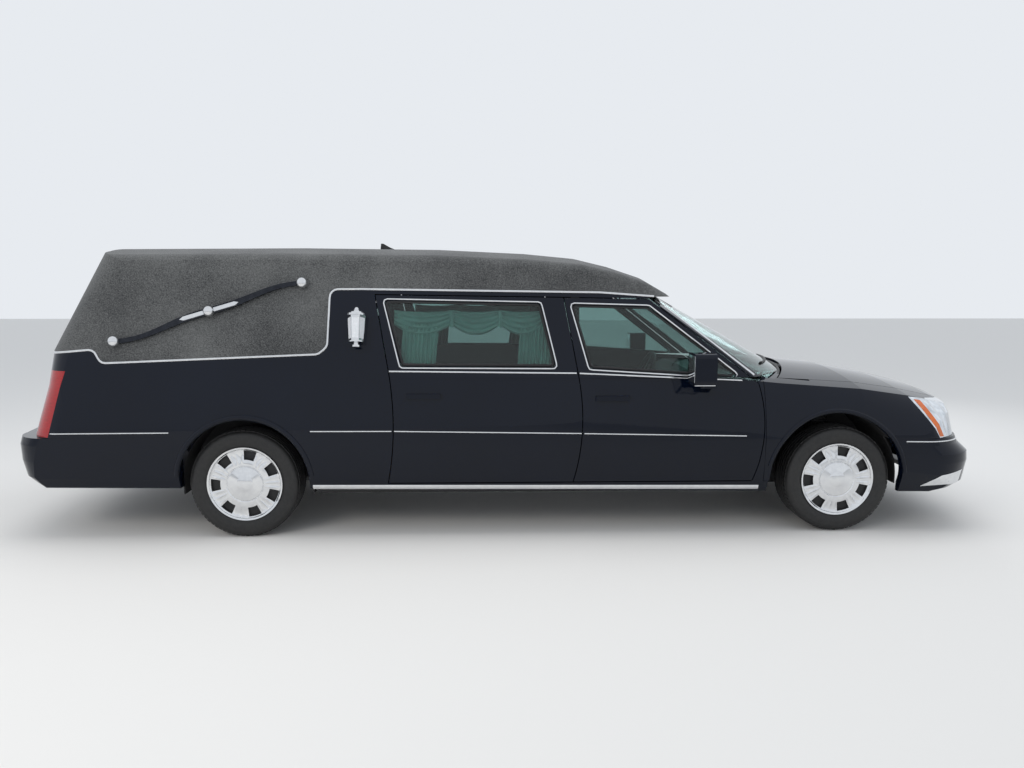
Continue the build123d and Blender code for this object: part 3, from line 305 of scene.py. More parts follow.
def trim_group():
    """A tree that lays a bead along a path, thrown onto a panel from outside."""
    group = bpy.data.node_groups.new("bead_on_panel", "GeometryNodeTree")
    face = group.interface
    wanted = (("Path", "NodeSocketGeometry"), ("Panel", "NodeSocketObject"), ("Throw", "NodeSocketVector"),
              ("Width", "NodeSocketFloat"), ("Height", "NodeSocketFloat"), ("Corner", "NodeSocketFloat"),
              ("Spacing", "NodeSocketFloat"), ("Finish", "NodeSocketMaterial"))
    for label, kind in wanted:
        face.new_socket(label, in_out="INPUT", socket_type=kind)
    face.new_socket("Bead", in_out="OUTPUT", socket_type="NodeSocketGeometry")
    make = group.nodes.new
    join = group.links.new
    given = make("NodeGroupInput")
    result = make("NodeGroupOutput")
    line = make("GeometryNodeMeshToCurve")
    rounded = make("GeometryNodeFilletCurve")
    rounded.mode = "POLY"
    rounded.inputs["Count"].default_value = 6
    rounded.inputs["Limit Radius"].default_value = True
    even = make("GeometryNodeResampleCurve")
    even.mode = "LENGTH"
    panel = make("GeometryNodeObjectInfo")
    throw = make("GeometryNodeRaycast")
    throw.inputs["Ray Length"].default_value = 4
    stand = make("GeometryNodeSetCurveNormal")
    stand.mode = "FREE"
    lay = make("GeometryNodeSetPosition")
    ring = make("GeometryNodeCurvePrimitiveCircle")
    ring.inputs["Resolution"].default_value = 12
    ring.inputs["Radius"].default_value = 1
    half = make("ShaderNodeMath")
    half.operation = "MULTIPLY"
    half.inputs[1].default_value = 0.5
    size = make("ShaderNodeCombineXYZ")
    size.inputs["Z"].default_value = 1
    section = make("GeometryNodeTransform")
    bead = make("GeometryNodeCurveToMesh")
    bead.inputs["Fill Caps"].default_value = True
    smooth = make("GeometryNodeSetShadeSmooth")
    real = make("GeometryNodeRealizeInstances")
    paint = make("GeometryNodeSetMaterial")
    join(given.outputs["Path"], line.inputs["Mesh"])
    join(line.outputs["Curve"], rounded.inputs["Curve"])
    join(given.outputs["Corner"], rounded.inputs["Radius"])
    join(rounded.outputs["Curve"], even.inputs["Curve"])
    join(given.outputs["Spacing"], even.inputs["Length"])
    join(given.outputs["Panel"], panel.inputs["Object"])
    join(panel.outputs["Geometry"], throw.inputs["Target Geometry"])
    join(given.outputs["Throw"], throw.inputs["Ray Direction"])
    join(even.outputs["Curve"], stand.inputs["Curve"])
    join(throw.outputs["Hit Normal"], stand.inputs["Normal"])
    join(stand.outputs["Curve"], lay.inputs["Geometry"])
    near = make("GeometryNodeProximity")
    near.target_element = "FACES"
    choose = make("GeometryNodeSwitch")
    choose.input_type = "VECTOR"
    join(panel.outputs["Geometry"], near.inputs["Geometry"])
    join(throw.outputs["Is Hit"], choose.inputs["Switch"])
    join(near.outputs["Position"], choose.inputs["False"])
    join(throw.outputs["Hit Position"], choose.inputs["True"])
    join(choose.outputs["Output"], lay.inputs["Position"])
    join(given.outputs["Width"], half.inputs[0])
    join(given.outputs["Height"], size.inputs["X"])
    join(half.outputs[0], size.inputs["Y"])
    join(ring.outputs["Curve"], section.inputs["Geometry"])
    join(size.outputs[0], section.inputs["Scale"])
    join(lay.outputs["Geometry"], bead.inputs["Curve"])
    join(section.outputs["Geometry"], bead.inputs["Profile Curve"])
    join(bead.outputs["Mesh"], smooth.inputs["Geometry"])
    join(smooth.outputs["Geometry"], real.inputs["Geometry"])
    join(real.outputs["Geometry"], paint.inputs["Geometry"])
    join(given.outputs["Finish"], paint.inputs["Material"])
    join(paint.outputs["Geometry"], result.inputs["Bead"])
    return group


bead_on_panel = trim_group()


def grown(name, tree, base, **values):
    """Runs a geometry tree on a base mesh with named inputs and returns the plain result."""
    carrier = bpy.data.objects.new(name + "_base", base)
    scene.collection.objects.link(carrier)
    modifier = carrier.modifiers.new("tree", "NODES")
    modifier.node_group = tree
    for item in tree.interface.items_tree:
        if item.in_out == "INPUT" and item.name in values:
            modifier[item.identifier] = values[item.name]
    carrier.update_tag()
    bpy.context.view_layer.update()
    depsgraph = bpy.context.evaluated_depsgraph_get()
    mesh = bpy.data.meshes.new_from_object(carrier.evaluated_get(depsgraph))
    bpy.data.objects.remove(carrier)
    piece = bpy.data.objects.new(name, mesh)
    mesh.name = name
    scene.collection.objects.link(piece)
    return piece


panels_used = {}
bead_spacing = 0.02


def joined_panel(*names):
    """One hidden panel from several CAD nodes, for a bead that crosses from one to the next."""
    if names not in panels_used:
        work = bmesh.new()
        for node in names:
            work.from_mesh(nodes[node].data)
        mesh = bpy.data.meshes.new("panel")
        work.to_mesh(mesh)
        work.free()
        panels_used[names] = bpy.data.objects.new("panel", mesh)
        scene.collection.objects.link(panels_used[names])
    return panels_used[names]


def bead(name, points, panel, body, width, height, finish_used=chrome, closed=False, corner=0.0,
         throw=(0, 1, 0), slot="chrome"):
    """A bead along points, thrown onto a CAD panel."""
    base = bpy.data.meshes.new(name)
    edges = [(i, i + 1) for i in range(len(points) - 1)]
    if closed:
        edges.append((len(points) - 1, 0))
    base.from_pydata(points, edges, [])
    piece = grown(name, bead_on_panel, base, Panel=joined_panel(*panel.split()), Throw=throw, Width=width,
                  Height=height, Corner=corner, Spacing=bead_spacing, Finish=finish_used)
    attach(piece, body)
    return piece


vinyl_edge = [(-2.806, 1.157), (-2.541, 1.181), (-2.493, 1.098), (-1.187, 1.149), (-1.131, 1.196),
              (-1.123, 1.545), (-0.929, 1.546), (0.561, 1.527), (0.905, 1.503)]
rear_frame = [(-0.797, 1.486), (0.190, 1.467), (0.288, 1.058), (-0.686, 1.065)]
front_frame = [(0.369, 1.461), (0.872, 1.447), (1.466, 0.989), (0.483, 1.051)]
coach_side = "body_shell vinyl_roof"
nose_side = "fenders front_bumper headlamps"
tail_side = "body_shell rear_bumper tail_lamps"


def arch_path(x, z, radius, low, high):
    """Points round a wheel opening, seen from the side, one every few degrees."""
    step = 6
    return [(x + radius * cos(radians(a)), z + radius * sin(radians(a))) for a in range(low, high, step)]


side_beads = [
    # name, nodes, body, plane it is thrown from, path in side view,
    # width, height, closed, corner radius, finish
    ("vinyl_edge_bead", coach_side, "coach", outside_all, vinyl_edge, 0.014, 0.005, False, 0.05, chrome),
    ("rear_window_frame", "rear_door", "rear_door", outside_windows, rear_frame,
     0.0095, 0.004, True, 0.02, chrome),
    ("front_window_frame", "front_door", "front_door", outside_windows, front_frame,
     0.0095, 0.004, True, 0.02, chrome),
    ("rear_belt_bead", "rear_door", "rear_door", outside_windows, [(-0.752, 1.045), (0.405, 1.030)],
     0.011, 0.005, False, 0, chrome),
    ("front_belt_bead", "front_door", "front_door", outside_windows, [(0.424, 1.029), (1.455, 0.979)],
     0.011, 0.005, False, 0, chrome),
    ("pillar_trim", "body_shell windshield", "coach", outside_windows, [(0.93, 1.480), (1.535, 1.012)],
     0.020, 0.005, False, 0, chrome),
    ("rear_corner_moulding", tail_side, "coach", outside_all, [(-2.790, 0.676), (-2.085, 0.678)],
     0.009, 0.006, False, 0, chrome),
    ("quarter_moulding", "body_shell", "coach", outside_all, [(-1.233, 0.682), (-0.738, 0.680)],
     0.009, 0.006, False, 0, chrome),
    ("rear_door_moulding", "rear_door", "rear_door", outside_all, [(-0.722, 0.680), (0.434, 0.660)],
     0.009, 0.006, False, 0, chrome),
    ("front_door_moulding", "front_door", "front_door", outside_all, [(0.452, 0.659), (1.470, 0.638)],
     0.009, 0.006, False, 0, chrome),
    ("front_corner_moulding", nose_side, "coach", outside_all, [(2.490, 0.596), (2.900, 0.590)],
     0.009, 0.006, False, 0, chrome),
    ("sill_strip", "body_shell", "coach", outside_all, [(-1.235, 0.322), (1.570, 0.300)],
     0.034, 0.004, False, 0, chrome),
    ("rear_arch_lip", "body_shell rear_bumper", "coach", outside_all, arch_path(-1.65, 0.355, 0.416, 6, 178),
     0.030, 0.010, False, 0, black_paint),
    ("front_arch_lip", "fenders front_bumper", "coach", outside_all, arch_path(2.06, 0.350, 0.440, 6, 172),
     0.026, 0.008, False, 0, black_paint),
]
for name, node, body, reach, path, width, height, closed, corner, metal in side_beads:
    for side, way in sides:
        handed = node in ("rear_door", "front_door")
        points = [(x, way * reach, z) for x, z in path]
        bead(name + "_" + side, points, node + "_" + side if handed else node,
             body + "_" + side if handed else body, width, height, metal, closed=closed, corner=corner,
             throw=(0, -way, 0), slot="chrome" if metal is chrome else "black_paint")


# Windows
# Green tinted safety glass, held in black rubber channels that are pressed into the door frames.
# The loading door's window has a bright frame, and a bead runs under it at the belt.
tinted_glass, tree, shader = new_material("tinted_glass")
shader.inputs["Base Color"].default_value = (0.36, 0.50, 0.48, 1)
shader.inputs["Roughness"].default_value = 0.0
shader.inputs["IOR"].default_value = 1.45
shader.inputs["Transmission Weight"].default_value = 1.0
dress(tinted_glass, "windshield", "front_door_glass_right", "front_door_glass_left", "rear_door_glass_right",
      "rear_door_glass_left", "loading_door_glass")
rubber = finish("black_rubber", (0.010, 0.010, 0.011), (0.022, 0.022, 0.023), 300, (0.5, 0.7), (0.2, 0.0006))
rear_channel = [(-0.778, 1.468), (0.177, 1.449), (0.269, 1.076), (-0.670, 1.083)]
front_channel = [(0.389, 1.443), (0.862, 1.430), (1.436, 1.003), (0.498, 1.068)]
for end, outline in (("rear", rear_channel), ("front", front_channel)):
    for side, way in sides:
        bead(end + "_glass_channel_" + side, [(x, way * outside_windows, z) for x, z in outline],
             end + "_door_glass_" + side, end + "_door_" + side, 0.018, 0.008, rubber, closed=True,
             corner=0.015, throw=(0, -way, 0), slot="black_plastic")
behind = -3.3
window_corners = ((0.452, 1.203), (0.386, 1.602), (-0.386, 1.602), (-0.452, 1.203))
loading_window = [(behind, y, z) for y, z in window_corners]
bead("loading_window_frame", loading_window, "loading_door", "loading_door", 0.018, 0.006, closed=True,
     corner=0.045, throw=(1, 0, 0))
bead("loading_belt_bead", [(behind, -0.585, 1.149), (behind, 0.585, 1.149)], "loading_door", "loading_door",
     0.016, 0.006, throw=(1, 0, 0))


# Window drapes
# Sage cloth inside each rear door: a swagged valance, caught up by two loops of the same cloth.
# A pleated panel hangs behind it at each end. All of it is fixed to the door and swings with it.
belt_z = 1.046
belt_half_width = 0.899
side_lean = 0.215
side_curve = 0.0795


def side_half(z):
    """Half width of the side above the belt, at a height."""
    rise = z - belt_z
    return belt_half_width - side_lean * rise - side_curve * rise * rise


def sheet_mesh(name, rows, columns, point, material):
    """An open sheet of quads from a function of two shares."""
    verts = [point(i / columns, j / rows) for j in range(rows + 1) for i in range(columns + 1)]
    wide = columns + 1
    faces = [(j * wide + i, j * wide + i + 1, (j + 1) * wide + i + 1, (j + 1) * wide + i)
             for j in range(rows) for i in range(columns)]
    mesh = bpy.data.meshes.new(name)
    mesh.from_pydata(verts, [], faces)
    mesh.materials.append(material)
    mesh.shade_smooth()
    piece = bpy.data.objects.new(name, mesh)
    scene.collection.objects.link(piece)
    return piece


drape_cloth = finish("drape_cloth", (0.34, 0.55, 0.51), (0.54, 0.76, 0.71), 420, (0.75, 0.9), (0.4, 0.0008),
                     stretch=(1, 1, 3), Sheen_Weight=0.35)
drape_depth = 0.060
valance_top = 1.415
valance_dip = 0.012
swag_drop = 0.092
swag_sag = 0.052
fold_count = 4.2
fold_depth = 0.011
end_fold_share = 0.35
panel_top = 1.33
panel_foot = 1.078
panel_shift = 0.02
panel_behind = 0.004
panel_leans = (0.9 * 0.26 * 0.35, 0.26 * 0.35)
pleat_depth = 0.011
pleat_wander = 0.5
loop_places = (-0.370, -0.066)
loop_width = 0.026
loop_top = 1.412
loop_drop = 0.104
loop_depth = 0.046
loop_bow = 0.004
# start and end along the door, then the width of the cut when the modelled folds are laid flat
swags = [(-0.730, -0.372, 0.371), (-0.368, -0.068, 0.315), (-0.064, 0.212, 0.292)]
swag_cut_length = 0.196
# start, end, number of pleats and the width of the cut
panels = [(-0.712, -0.490, 9, 0.466), (0.020, 0.232, 9, 0.460)]
panel_cut_length = 0.260
for side, way in sides:
    made = []
    for number, (start, end, cut_width) in enumerate(swags):
        def swag_point(u, v):
            sag = 4 * u * (1 - u)
            drop = swag_drop + swag_sag * sag
            z = valance_top - valance_dip * sag - v * drop
            fullness = end_fold_share + (1 - end_fold_share) * sag
            fold = fold_depth * sin(v * fold_count * 2 * pi) * fullness
            return (start + u * (end - start), way * (side_half(z) - drape_depth - fold), z)
        valance = sheet_mesh("valance_%d_%s" % (number + 1, side), 48, 24, swag_point, drape_cloth)
        made.append((valance, (cut_width, swag_cut_length)))
    for number, (start, end, pleats, cut_width) in enumerate(panels):
        def panel_point(u, v):
            z = panel_top - v * (panel_top - panel_foot)
            x = start + panel_shift + u * (end - start) + panel_leans[number] * (z - panel_foot)
            pinch = pleat_depth * sin(u * pleats * 2 * pi + pleat_wander * sin(5 * v + number))
            return (x, way * (side_half(z) - drape_depth - panel_behind + pinch), z)
        panel = sheet_mesh("drape_panel_%d_%s" % (number + 1, side), 20, 120, panel_point, drape_cloth)
        made.append((panel, (cut_width, panel_cut_length)))
    for piece, cut in made:
        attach(piece, "rear_door_" + side)
    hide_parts("drapes_" + side)
    for number, x in enumerate(loop_places):
        def loop_point(u, v):
            out = side_half(1.41 - 0.10 * v) - loop_depth + loop_bow * sin(pi * u)
            return (x + loop_width * (u - 0.5), way * out, loop_top - loop_drop * v)
        loop = sheet_mesh("drape_loop_%d_%s" % (number + 1, side), 14, 6, loop_point, drape_cloth)
        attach(loop, "rear_door_" + side)


# Coach lamps
# Six-sided lanterns cast in metal and chromed, bolted on the black panels behind the rear doors.
# Three frosted panes lie in each one's frames.
dress(chrome, "coach_lamps")
frosted = finish("frosted_pane", (0.80, 0.82, 0.84), (0.90, 0.91, 0.93), 60, (0.35, 0.5), (0.1, 0.0004),
                 Transmission_Weight=0.25)
lamp_x, lamp_z, lamp_out = -0.946, 1.309, 0.054


def wall_frame(x, z, out, way):
    """Place, outward and upward directions on the side above the belt."""
    lean = side_lean + 2 * side_curve * (z - belt_z)
    spread = sqrt(1 + lean * lean)
    outward = Vector((0, way / spread, lean / spread))
    upward = Vector((0, -way * lean / spread, 1 / spread))
    return Vector((x, way * side_half(z), z)) + Vector((0, way * out, 0)), outward, upward


def solid_from(name, verts, faces, material, bevel=0.0, smooth=True):
    """A closed piece from points and faces, its edges rounded and its normals outward."""
    mesh = bpy.data.meshes.new(name)
    work = bmesh.new()
    made = [work.verts.new(v) for v in verts]
    for face in faces:
        work.faces.new([made[i] for i in face])
    bmesh.ops.remove_doubles(work, verts=work.verts, dist=0.00001)
    if bevel:
        bmesh.ops.bevel(work, geom=list(work.edges), offset=bevel, segments=2, affect="EDGES", profile=0.6)
    bmesh.ops.recalc_face_normals(work, faces=work.faces)
    work.to_mesh(mesh)
    work.free()
    mesh.materials.append(material)
    if smooth:
        mesh.shade_smooth()
        mesh.set_sharp_from_angle(angle=radians(40))
    piece = bpy.data.objects.new(name, mesh)
    scene.collection.objects.link(piece)
    return piece


box_faces = [(0, 1, 3, 2), (4, 6, 7, 5), (0, 2, 6, 4), (1, 5, 7, 3), (0, 4, 5, 1), (2, 3, 7, 6)]


pane_sunk = 0.0005
pane_thickness = 0.0022
pane_frame = 0.005
pane_ends = [(height, radius * cos(radians(30)) - pane_sunk, radius * 0.5 - pane_frame)
             for height, radius in ((-0.066, 0.0455), (0.062, 0.0532))]
along = Vector((1, 0, 0))
for side, way in sides:
    verts = []
    faces = []
    centre, outward, upward = wall_frame(lamp_x, lamp_z, lamp_out, way)
    for turn in (-60, 0, 60):
        normal = along * sin(radians(turn)) + outward * cos(radians(turn))
        across = along * cos(radians(turn)) - outward * sin(radians(turn))
        start = len(verts)
        for deep in (0, pane_thickness):
            for height, flat, half in pane_ends:
                for sign in (-1, 1):
                    verts.append(centre + upward * height + normal * (flat + deep) + across * (sign * half))
        faces += [tuple(start + i for i in face) for face in box_faces]
    panes = solid_from("lamp_panes_" + side, verts, faces, frosted, smooth=False)
    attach(panes, "coach")


# Landau bars
# S-shaped bars in dark chromed metal, bolted to the vinyl through three bright balls.
# A bright pointed plaque lies along the straight middle of each.
dark_chrome = finish("dark_chrome", (0.010, 0.012, 0.018), (0.02, 0.023, 0.03), 40, (0.10, 0.16),
                     Metallic=0.6)
dress(dark_chrome, "landau_bars")
bar_x, bar_z = -1.851, 1.417
bar_out = 0.0064
bar_climb = 0.96 * 0.098 / 0.30
ball_places = [(-0.560, -0.196), (0, -0.009), (0.560, 0.170)]
ball_radius = 0.0348
ball_out = 0.014
plaque_outline = [(-0.185, 0), (-0.160, 0.015), (0.165, 0.015), (0.190, 0), (0.165, -0.015), (-0.160, -0.015)]
plaque_drop = 0.009
plaque_foot, plaque_face = 0.010, 0.0165
for side, way in sides:
    centre, outward, upward = wall_frame(bar_x, bar_z, bar_out, way)
    lengthwise = (along + upward * bar_climb).normalized()
    crosswise = outward.cross(lengthwise).normalized()
    middle = centre - upward * plaque_drop
    verts = [middle + lengthwise * a + crosswise * b + outward * plaque_foot for a, b in plaque_outline]
    verts += [middle + lengthwise * a * 0.985 + crosswise * b * 0.8 + outward * plaque_face
              for a, b in plaque_outline]
    faces = [tuple(range(6)), tuple(range(11, 5, -1))]
    faces += [(i, (i + 1) % 6, 6 + (i + 1) % 6, 6 + i) for i in range(6)]
    plaque = solid_from("landau_plaque_" + side, verts, faces, chrome, smooth=False)
    work = bmesh.new()
    for a, b in ball_places:
        at = Matrix.Translation(centre + along * a + upward * b + outward * ball_out)
        bmesh.ops.create_uvsphere(work, u_segments=32, v_segments=16, radius=ball_radius, matrix=at)
    mesh = bpy.data.meshes.new("landau_balls_" + side)
    work.to_mesh(mesh)
    work.free()
    mesh.shade_smooth()
    mesh.materials.append(chrome)
    balls = bpy.data.objects.new("landau_balls_" + side, mesh)
    scene.collection.objects.link(balls)
    for piece in (plaque, balls):
        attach(piece, "coach")


# Wheels
# Rubber tyres with a grooved tread, on black wheel barrels.
# A pressed and chromed cover with seven windows and ribbed spokes clips into each barrel.
tyre_rubber = finish("tyre_rubber", (0.006, 0.006, 0.0065), (0.018, 0.0175, 0.017), 55, (0.42, 0.65),
                     (0.3, 0.0012))
wheel_places = [("front", "right", 2.09, -1), ("front", "left", 2.09, 1), ("rear", "right", -1.66, -1),
                ("rear", "left", -1.66, 1)]
wheel_y, hub_z = 0.787, 0.340
tyre_section = [
    # across the tyre, radius
    (-0.0862, 0.2225), (-0.0985, 0.2335), (-0.112, 0.2505), (-0.1175, 0.285), (-0.1155, 0.299),
    (-0.1158, 0.301),
    (-0.1145, 0.312), (-0.106, 0.325), (-0.092, 0.333), (-0.060, 0.3335), (-0.059, 0.3385), (-0.036, 0.3392),
    (-0.035, 0.3315), (-0.027, 0.3315), (-0.026, 0.3394), (-0.005, 0.340), (-0.004, 0.3318), (0.004, 0.3318),
    (0.005, 0.340), (0.026, 0.3394), (0.027, 0.3315), (0.035, 0.3315), (0.036, 0.3392), (0.059, 0.3385),
    (0.060, 0.3335), (0.092, 0.333), (0.106, 0.325), (0.1145, 0.312), (0.1158, 0.301), (0.1155, 0.299),
    (0.1175, 0.285), (0.112, 0.2505), (0.0985, 0.2335), (0.0862, 0.2225),
]


def block_ring_group():
    """A tree that sets small tread blocks round both shoulders of a tyre."""
    group = bpy.data.node_groups.new("tread_blocks", "GeometryNodeTree")
    face = group.interface
    wanted = (("Base", "NodeSocketGeometry"), ("Count", "NodeSocketInt"), ("Radius", "NodeSocketFloat"),
              ("Size", "NodeSocketVector"), ("Offset", "NodeSocketFloat"), ("Finish", "NodeSocketMaterial"))
    for label, kind in wanted:
        face.new_socket(label, in_out="INPUT", socket_type=kind)
    face.new_socket("Blocks", in_out="OUTPUT", socket_type="NodeSocketGeometry")
    make = group.nodes.new
    join = group.links.new
    given = make("NodeGroupInput")
    result = make("NodeGroupOutput")
    ring = make("GeometryNodeCurvePrimitiveCircle")
    to_points = make("GeometryNodeCurveToPoints")
    to_points.mode = "COUNT"
    lug = make("GeometryNodeMeshCube")
    put = make("GeometryNodeInstanceOnPoints")
    real = make("GeometryNodeRealizeInstances")
    stand = make("GeometryNodeTransform")
    stand.inputs["Rotation"].default_value = (radians(90), 0, 0)
    lay = make("ShaderNodeCombineXYZ")
    both = make("GeometryNodeJoinGeometry")
    paint = make("GeometryNodeSetMaterial")
    join(given.outputs["Radius"], ring.inputs["Radius"])
    join(ring.outputs["Curve"], to_points.inputs["Curve"])
    join(given.outputs["Count"], to_points.inputs["Count"])
    join(to_points.outputs["Points"], put.inputs["Points"])
    join(to_points.outputs["Rotation"], put.inputs["Rotation"])
    join(given.outputs["Size"], lug.inputs["Size"])
    join(lug.outputs["Mesh"], put.inputs["Instance"])
    join(put.outputs["Instances"], real.inputs["Geometry"])
    join(real.outputs["Geometry"], stand.inputs["Geometry"])
    join(given.outputs["Offset"], lay.inputs["Y"])
    join(lay.outputs[0], stand.inputs["Translation"])
    join(given.outputs["Base"], both.inputs["Geometry"])
    join(stand.outputs["Geometry"], both.inputs["Geometry"])
    join(both.outputs["Geometry"], paint.inputs["Geometry"])
    join(given.outputs["Finish"], paint.inputs["Material"])
    join(paint.outputs["Geometry"], result.inputs["Blocks"])
    return group


def lathe(section, steps):
    """A closed ring of quads round the Y axis."""
    count = len(section)
    verts = [(radius * cos(2 * pi * k / steps), across, radius * sin(2 * pi * k / steps))
             for k in range(steps) for across, radius in section]
    faces = [(k * count + i, k * count + (i + 1) % count, ((k + 1) % steps) * count + (i + 1) % count,
              ((k + 1) % steps) * count + i) for k in range(steps) for i in range(count)]
    return verts, faces


tread_blocks = block_ring_group()
ring_steps = 96
lug_count = 72
lug_ring = 0.3345
lug_size = (0.0075, 0.031, 0.0235)
shoulder = 0.076
tyre_verts, tyre_faces = lathe(tyre_section, ring_steps)
carcass = solid_from("tyre_carcass", tyre_verts, tyre_faces, tyre_rubber)
tyre_mesh = carcass.data
bpy.data.objects.remove(carcass)
for offset in (-shoulder, shoulder):
    shod = grown("tyre_tread", tread_blocks, tyre_mesh, Count=lug_count, Radius=lug_ring, Size=lug_size,
                 Offset=offset, Finish=tyre_rubber)
    tyre_mesh = shod.data
    bpy.data.objects.remove(shod)
cover_section = [
    # radius, height of the face above the wheel's middle plane
    (0.0, 0.1035), (0.044, 0.1035), (0.048, 0.1015), (0.052, 0.1000), (0.104, 0.1000), (0.108, 0.0985),
    (0.110, 0.0955), (0.113, 0.0955), (0.117, 0.0990), (0.130, 0.0985), (0.149, 0.0960), (0.153, 0.0950),
    (0.172, 0.0925), (0.193, 0.0905), (0.2125, 0.0920), (0.2165, 0.0945), (0.222, 0.1030), (0.2325, 0.1065),
    (0.2335, 0.1010),
]
spoke_count = 7
steps_each = 28
window_first = 11
window_last = 14
window_phase = radians(28)
window_half_share = 0.215
rib_first, rib_last = 8, 15
rib_height = 0.0045
rib_share = (0.22, 0.78)
edge_turn = 0.016
cover_thickness = 0.0015
barrel_section = [(0.214, 0.088), (0.222, 0.086), (0.222, -0.092), (0.2335, -0.101), (0.232, -0.107),
                  (0.212, -0.101), (0.206, -0.088), (0.206, 0.060), (0.110, 0.066), (0.060, 0.050),
                  (0.030, 0.050), (0.030, 0.058), (0.060, 0.060), (0.110, 0.076), (0.206, 0.074)]


def wheel_cover():
    """A dished disc with seven pressed windows, its spokes ribbed, its walls turned in at each opening."""
    total = spoke_count * steps_each
    work = bmesh.new()
    rows = []
    for ring, (radius, lift) in enumerate(cover_section[1:], 1):
        row = []
        for k in range(total):
            angle = window_phase + 2 * pi * k / total
            share = (k % steps_each) / steps_each
            rib = 0.0
            if rib_first < ring < rib_last and rib_share[0] < share < rib_share[1]:
                rise = sin(pi * (ring - rib_first) / (rib_last - rib_first))
                rib = rib_height * max(0, cos((share - 0.5) * 2 * pi * 5)) ** 2 * rise
            row.append(work.verts.new((radius * cos(angle), lift + rib, radius * sin(angle))))
        rows.append(row)
    middle = work.verts.new((0, cover_section[0][1], 0))
    for k in range(total):
        work.faces.new((middle, rows[0][(k + 1) % total], rows[0][k]))
    for ring in range(len(rows) - 1):
        for k in range(total):
            share = (k % steps_each + 0.5) / steps_each
            in_window = share < window_half_share or share > 1 - window_half_share
            if not (in_window and window_first <= ring + 1 < window_last):
                n = (k + 1) % total
                work.faces.new((rows[ring][k], rows[ring][n], rows[ring + 1][n], rows[ring + 1][k]))
    bmesh.ops.recalc_face_normals(work, faces=work.faces)
    if sum(face.normal.y * face.calc_area() for face in work.faces) < 0:
        bmesh.ops.reverse_faces(work, faces=work.faces)
    edges = [edge for edge in work.edges if edge.is_boundary]
    turned = bmesh.ops.extrude_edge_only(work, edges=edges)
    for item in turned["geom"]:
        if isinstance(item, bmesh.types.BMVert):
            item.co.y -= edge_turn
    mesh = bpy.data.meshes.new("wheel_cover")
    work.to_mesh(mesh)
    work.free()
    return mesh


cover_mesh = wheel_cover()
barrel_verts, barrel_faces = lathe([(y, r) for r, y in barrel_section], ring_steps)
dark_well = finish("wheel_well_black", (0.006, 0.006, 0.007), (0.015, 0.015, 0.016), 120, (0.5, 0.7),
                   (0.2, 0.001))
for end, side, axle_x, way in wheel_places:
    centre = Matrix.Translation((axle_x, way * wheel_y, hub_z))
    mesh = tyre_mesh.copy()
    mesh.transform(centre)
    tyre = bpy.data.objects.new("road_tyre_%s_%s" % (end, side), mesh)
    scene.collection.objects.link(tyre)
    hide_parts("tyre_%s_%s" % (end, side))
    turn = Matrix.Rotation(pi, 4, "Z") if way < 0 else Matrix.Identity(4)
    mirror = Matrix.Scale(-1, 4, (1, 0, 0)) if way < 0 else Matrix.Identity(4)
    mesh = cover_mesh.copy()
    mesh.transform(centre @ turn @ mirror)
    if way < 0:
        mesh.flip_normals()
    mesh.materials.append(chrome)
    mesh.shade_smooth()
    mesh.set_sharp_from_angle(angle=radians(35))
    cover = bpy.data.objects.new("wheel_cover_%s_%s" % (end, side), mesh)
    scene.collection.objects.link(cover)
    thickness = cover.modifiers.new("sheet", "SOLIDIFY")
    thickness.thickness = cover_thickness
    thickness.offset = -1
    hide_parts("rim_%s_%s" % (end, side))
    barrel = solid_from("wheel_barrel_%s_%s" % (end, side), [centre @ turn @ Vector(v) for v in barrel_verts],
                        barrel_faces, dark_well)
    for piece in (tyre, cover, barrel):
        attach(piece, "wheel_%s_%s" % (end, side))


# Lamps
# Moulded plastic lamps let into the corners: clear and fluted at the front, red and ribbed at the tail.
# An amber marker, two bright dividers and a bright bumper insert are pressed on at each front corner.
lamp_lens = finish("fluted_lamp_lens", (0.42, 0.46, 0.50), (0.80, 0.84, 0.88), 26, (0.06, 0.16),
                   (0.35, 0.003), stretch=(1, 1, 0.3), crackle=0.7, Metallic=0.75, Coat_Weight=1.0)
dress(lamp_lens, "headlamps")
lamp_red = finish("lamp_red", (0.22, 0.003, 0.005), (0.34, 0.008, 0.010), 30, (0.08, 0.14), (0.25, 0.001),
                  stretch=(1, 1, 12), Coat_Weight=0.2)
dress(lamp_red, "tail_lamps")
amber = finish("amber_lens", (0.50, 0.09, 0.012), (0.62, 0.14, 0.02), 60, (0.12, 0.2), (0.2, 0.0008),
               Coat_Weight=0.4)
panel_trees = {}
patch_root = 0.002


